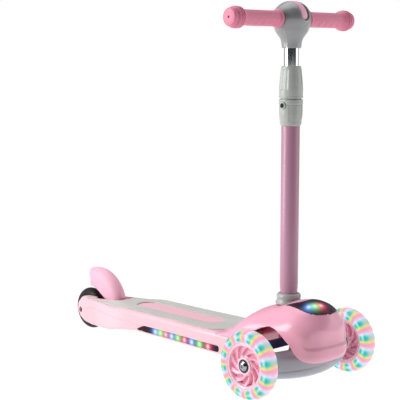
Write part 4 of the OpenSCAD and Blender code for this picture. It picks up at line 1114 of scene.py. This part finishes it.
m = Mat("lamp_white")
m.set(color=m.mix(m.remap(m.noise(900, 2), 0.3, 0.7, 0, 1), (0.85, 0.88, 0.9), (0.95, 0.97, 1.0)),
        rough=0.2, emit=(0.8, 0.9, 1.0), power=0.8)
lamp_white = m.mat


# A wheel core: painted shade makes the pockets deeper pink, and painted highlight makes the vanes, boss and
# rim paler
def core_material(side):
    m = Mat("core_pink_" + ("right" if side < 0 else "left"))
    x = m.xyz()[0]
    depth = m.math("ABSOLUTE", m.math("SUBTRACT", x, side * WHEEL_X * MM))
    # colour by height over the middle plane: painted shade low in the pockets, painted highlight on the
    # raised vanes, boss and rim
    shade = m.ramp(m.remap(depth, 0.002, 0.0115, 0, 1), [(0.0, (0.90, 0.31, 0.48)),
            (0.35, (0.93, 0.38, 0.53)), (0.7, (0.96, 0.50, 0.62)), (1.0, (0.98, 0.66, 0.76))])
    m.set(color=shade, rough=m.remap(m.noise(60, 4), 0.3, 0.7, 0.22, 0.34),
            normal=m.bump(m.noise(420, 2), 0.05, 0.0001), coat=0.3, coat_rough=0.1)
    return m.mat


# A glowing tyre: twelve clusters of cyan, each with yellow-green on one side and white on the other
def glow_tyre(side):
    m = Mat("glow_" + ("right" if side < 0 else "left"))
    x, y, z = m.xyz()
    dy, dz = m.math("SUBTRACT", y, FRONT_Y * MM), m.math("SUBTRACT", z, FRONT_Z * MM)
    r = m.math("MULTIPLY", m.math("SQRT", m.math("ADD", m.math("MULTIPLY", dy, dy),
            m.math("MULTIPLY", dz, dz))), 1000)
    turn = m.math("ARCTAN2", m.math("MULTIPLY", dy, -1), dz)
    s = m.math("SUBTRACT", m.math("FRACT", m.math("ADD", m.math("MULTIPLY", turn, 12 / (2 * math.pi)),
            24.0)), 0.5)
    wob = m.math("MULTIPLY", m.math("SUBTRACT", m.noise(60, 2), 0.5), 0.16)
    s2 = m.math("ADD", s, wob)
    around = m.ramp(m.math("ADD", s2, 0.5), [(0.00, (0.95, 0.36, 0.52)), (0.10, (0.93, 0.48, 0.70)),
            (0.18, (0.86, 0.70, 0.95)), (0.26, (0.75, 0.92, 1.0)), (0.35, (0.42, 0.90, 0.92)),
            (0.44, (0.20, 0.80, 0.78)), (0.58, (0.15, 0.76, 0.50)), (0.66, (0.35, 0.85, 0.22)),
            (0.75, (0.90, 0.90, 0.16)), (0.84, (0.96, 0.66, 0.28)), (0.92, (0.96, 0.40, 0.45)),
            (1.0, (0.95, 0.36, 0.52))])

    def blob(ds, dr, ws, wr):
        a = m.math("DIVIDE", m.math("SUBTRACT", s2, ds), ws)
        b = m.math("DIVIDE", m.math("SUBTRACT", r, dr), wr)
        q = m.math("ADD", m.math("MULTIPLY", a, a), m.math("MULTIPLY", b, b))
        return m.math("POWER", FADE, m.math("MULTIPLY", q, -1.0))
    col = m.mix(m.math("MULTIPLY", blob(-0.22, 46.2, 0.09, 3.0), 0.85), around, (0.95, 0.97, 1.0))
    col = m.mix(m.math("MULTIPLY", blob(0.25, 46.0, 0.08, 5.0), 0.55), col, (0.90, 0.95, 0.12))
    col = m.mix(m.math("MULTIPLY", blob(0.02, 50.6, 0.25, 3.4), 1.0), col, (0.0, 0.46, 0.50))
    col = m.mix(m.math("MULTIPLY", blob(-0.01, 41.6, 0.25, 3.0), 1.0), col, (0.0, 0.52, 0.55))
    col = m.mix(m.math("MULTIPLY", blob(0.0, 46.2, 0.10, 1.8), 0.75), col, (0.55, 0.97, 0.95))
    # the glow fades into plain pink at the rim and at the tread
    fade = m.math("MULTIPLY", m.remap(r, 37.6, 39.4, 0, 1), m.remap(r, 53.8, 55.1, 1, 0.45), True)
    base = m.mix(fade, (0.93, 0.46, 0.60), (0.05, 0.03, 0.04))
    light = m.mix(fade, (0.30, 0.11, 0.16), col)
    m.set(color=base, emit=light, power=0.95, rough=m.remap(m.noise(120, 3), 0.3, 0.7, 0.24, 0.32),
            spec=0.3, normal=m.bump(m.noise(260, 2), 0.05, 0.0002))
    return m.mat


BLUE, GREEN, RED = (0.07, 0.27, 0.80), (0.16, 0.66, 0.16), (0.70, 0.05, 0.14)
CORES = {BLUE: (0.55, 0.80, 1.0), GREEN: (0.45, 1.0, 0.35), RED: (1.0, 0.42, 0.48)}
WHITES = {c: tuple(0.35 * a + 0.65 for a in CORES[c]) for c in CORES}
FADE = 2.718


def lamps(name, axes, places, colours, core_r, halo_r, dark):
    """Smoked lens with glowing lamps behind it, at places on two axes."""
    m = Mat(name)
    xyz = m.xyz()
    at = [m.math("MULTIPLY", xyz["xyz".index(a)], 1000) for a in axes]
    light = m.mix(m.noise(30, 2), dark, tuple(c * 1.3 for c in dark))

    def glow(q, radius, gain):
        return m.math("MULTIPLY", m.math("POWER", FADE, m.math("MULTIPLY", q, -1 / radius**2)), gain)

    squares = []
    for place in places:
        d = [m.math("SUBTRACT", t, p) for t, p in zip(at, place)]
        squares.append(m.math("ADD", m.math("MULTIPLY", d[0], d[0]), m.math("MULTIPLY", d[1], d[1])))
    for radius, gain, table in ((halo_r, 1.1, None), (core_r, 0.9, CORES), (core_r * 0.55, 0.9, WHITES)):
        for q, colour in zip(squares, colours):
            n = m.node("ShaderNodeMix", data_type="RGBA", blend_type="ADD" if table is None else "MIX")
            m.put(n.inputs[0], glow(q, radius, gain))
            m.put(n.inputs[6], light)
            m.put(n.inputs[7], (*(table[colour] if table else colour), 1))
            light = n.outputs[2]
    m.set(color=m.mix(m.remap(m.noise(40, 3), 0.3, 0.7, 0, 1), (0.010, 0.006, 0.012),
            (0.014, 0.009, 0.016)), emit=light, power=1.0, rough=m.remap(m.noise(200, 3), 0.3, 0.7, 0.14,
            0.18), spec=0.14)
    return m.mat


strip_places = [(STRIP_B - 55.8 - 13.2 * i - 0.55 * i * i, STRIP_Z) for i in range(9)]
strip_colours = [(BLUE, GREEN, RED)[i % 3] for i in range(9)]
strip_mat = lamps("strip_glow", "yz", strip_places, strip_colours, 5.0, 9.5, (0.010, 0.003, 0.008))
visor_mat = lamps("visor_glow", "xy", [(-23.5, STEM_Y - 64.5), (-15.5, STEM_Y - 70.5), (-6.5, STEM_Y - 75)],
        [BLUE, GREEN, RED], 3.6, 8.0, (0.010, 0.003, 0.010))


# --- which piece rides on which body, and stands for which CAD node ---------------

def piece(ob, body, nodes, slot, *mats):
    ob.data.materials.clear()
    for k in mats:
        ob.data.materials.append(k)
    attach(ob, body)
    if nodes:
        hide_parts(*nodes)
    return ob


piece(cover, "deck", ["front_cover"], "pink_plastic", pink)
piece(visor, "deck", ["lamp_window"], "smoke_lens", visor_mat)
piece(ring, "deck", ["stem_socket"], "grey_plastic", grey)
piece(tube, "deck", ["stem_tube"], "mauve_paint", mauve)
piece(lower, "deck", ["lower_collar"], "grey_plastic", grey)
piece(bezel, "deck", [], "grey_plastic", grey)
piece(knob, "button", ["height_button"], "black_plastic", button_black)
piece(twist, "clamp", ["twist_collar"], "grey_plastic", grey)
piece(chrome_tube, "handlebar", ["inner_tube"], "chrome", chrome)
piece(hub, "handlebar", ["bar_hub"], "grey_plastic", hub_grey)
piece(insert, "handlebar", ["hub_insert"], "pink_plastic", pink_soft)
for ob, tag in zip(grips, ("right", "left")):
    piece(ob, "handlebar", ["grip_" + tag], "grip_rubber", grip_mat)
piece(deck, "deck", ["deck_shell"], "pink_plastic", pink_deck_painted_sheen)
piece(mat, "deck", ["foot_mat"], "mat_rubber", rubber_grey)
piece(panel, "deck", ["mat_panel"], "pink_plastic", panel_pink)
for ob, tag in zip(lenses, ("right", "left")):
    piece(ob, "deck", ["side_lens_" + tag], "smoke_lens", strip_mat)
piece(fender, "brake", ["brake_fender"], "pink_plastic", pink_soft)
piece(beam, "axle_beam", ["front_axle_beam"], "grey_plastic", beam_grey)
for i, (tag, side) in enumerate((("right", -1), ("left", 1))):
    piece(hubs[i], tag + "_wheel", ["front_hub_" + tag], "pink_plastic", core_material(side))
    piece(tyres[i], tag + "_wheel", ["front_tyre_" + tag], "clear_tyre", glow_tyre(side))
    piece(bearings[i], tag + "_wheel", ["front_bearings_" + tag], "steel", dark_steel)
    piece(bolts[i], tag + "_knuckle", ["front_axle_" + tag], "chrome", bolt_steel)
piece(rear_tyre, "rear_wheel", ["rear_tyre"], "black_tyre", tyre_black)
piece(rear_core, "rear_wheel", ["rear_hub"], "black_plastic", black)
piece(rear_bearings, "rear_wheel", ["rear_bearings"], "steel", steel)
piece(rear_axle, "deck", ["rear_axle"], "steel", dark_steel)

KEPT = {"deck_base": deep, "side_leds_right": lamp_white, "side_leds_left": lamp_white,
        "side_boards": board, "battery_box": black, "battery_cells": steel, "battery_cover": deep,
        "deck_screws": steel, "lamp_leds": lamp_white, "lamp_board": board, "front_frame": deep,
        "lean_pivot": steel, "stem_sleeve": white, "button_spring": steel, "rear_spacers": steel,
        "brake_pin": steel, "brake_spring": steel, "lean_bush": black, "kingpins": steel,
        "steering_link": painted_shade_navy, "knuckle_right": beam_grey, "knuckle_left": beam_grey,
        "wheel_magnet_right": steel, "wheel_magnet_left": steel, "wheel_leds_right": lamp_white,
        "wheel_leds_left": lamp_white, "inner_tube_foot": white, "hub_screw": steel, "crossbar": steel}
for name, material in KEPT.items():
    ob = NODES[name]
    if not ob.material_slots:
        ob.data.materials.append(material)
    for slot in ob.material_slots:
        slot.material = material

# --- floor, light and camera ------------------------------------------------------

m = Mat("pale_floor")
m.set(color=m.ramp(m.noise(0.8, 2), [(0.3, (0.04, 0.04, 0.04)), (0.7, (0.05, 0.05, 0.05))]), rough=0.9,
        emit=(1, 1, 1), power=1.0)
m.set(spec=0.0)
rings = [0.0] + [0.6 * 1.5**k for k in range(12)]
ang = np.linspace(0, 2 * math.pi, 48, endpoint=False)
floor = skin("floor", [[(r * 1000 * math.cos(a), r * 1000 * math.sin(a),
        -0.3) for a in ang] for r in rings], wrap_u=False)
floor.data.materials.append(m.mat)

scene = bpy.context.scene
world = bpy.data.worlds.new("studio")
scene.world = world
world.use_nodes = True
wt = world.node_tree
wt.nodes.clear()
w_out = wt.nodes.new("ShaderNodeOutputWorld")
bg = wt.nodes.new("ShaderNodeBackground")
sky = wt.nodes.new("ShaderNodeTexCoord")
dot = wt.nodes.new("ShaderNodeVectorMath")
dot.operation = "DOT_PRODUCT"
wt.links.new(sky.outputs["Generated"], dot.inputs[0])
dot.inputs[1].default_value = (-0.68, -0.72, 0.10)
half = wt.nodes.new("ShaderNodeMapRange")
wt.links.new(dot.outputs["Value"], half.inputs[0])
half.inputs[1].default_value = -1.0
shade = wt.nodes.new("ShaderNodeValToRGB")
wt.links.new(half.outputs[0], shade.inputs[0])
# dark towards the camera and straight behind the scooter, bright all round between them
stops = [(0.0, 0.16), (0.07, 0.22), (0.16, 0.70), (0.56, 0.66), (0.68, 0.20), (0.78, 0.02), (1.0, 0.012)]
e = shade.color_ramp.elements
while len(e) < len(stops):
    e.new(0.5)
for el, (pos, v) in zip(e, stops):
    el.position, el.color = pos, (v, v, v * 1.01, 1)
lp = wt.nodes.new("ShaderNodeLightPath")
mixw = wt.nodes.new("ShaderNodeMix")
mixw.data_type = "RGBA"
wt.links.new(lp.outputs["Is Camera Ray"], mixw.inputs[0])
wt.links.new(shade.outputs[0], mixw.inputs[6])
mixw.inputs[7].default_value = (1, 1, 1, 1)
wt.links.new(mixw.outputs[2], bg.inputs[0])
bg.inputs[1].default_value = 1.0
wt.links.new(bg.outputs[0], w_out.inputs[0])


def area(name, place, target, size, power, colour=(1, 1, 1)):
    li = bpy.data.lights.new(name, "AREA")
    li.shape = "RECTANGLE"
    li.size, li.size_y = size
    li.energy = power
    li.color = colour
    ob = bpy.data.objects.new(name, li)
    scene.collection.objects.link(ob)
    ob.location = place
    ob.rotation_euler = (Vector(target) - Vector(place)).to_track_quat("-Z", "Y").to_euler()
    return ob


area("light_left", (-1.75, 1.15, 1.1), (0, 0, 0.25), (1.1, 1.8), 46)
area("light_right", (1.45, -1.5, 1.0), (0, -0.1, 0.25), (1.0, 1.8), 7, (0.97, 0.96, 1.0))
area("light_top", (0.1, 0.3, 2.4), (0, 0, 0), (2.0, 2.0), 16)

CAMERA_AT, CAMERA_ROLL = (-1.37935, -1.48553, 0.53403), 0.09
cam = bpy.data.cameras.new("camera")
cam.lens, cam.sensor_width = 103.28, 36
cam.clip_start, cam.clip_end = 0.05, 200
cam_ob = bpy.data.objects.new("camera", cam)
scene.collection.objects.link(cam_ob)
right, back = Vector((0.7281, -0.6854, 0.0)).normalized(), Vector((-0.6802, -0.7226, 0.1234)).normalized()
up = back.cross(right).normalized()
right = up.cross(back)
roll = Matrix.Rotation(math.radians(CAMERA_ROLL), 3, back)
basis = Matrix((right, up, back)).transposed()
cam_ob.matrix_world = Matrix.Translation(CAMERA_AT) @ (roll @ basis).to_4x4()
scene.camera = cam_ob
scene.view_settings.view_transform = "Standard"
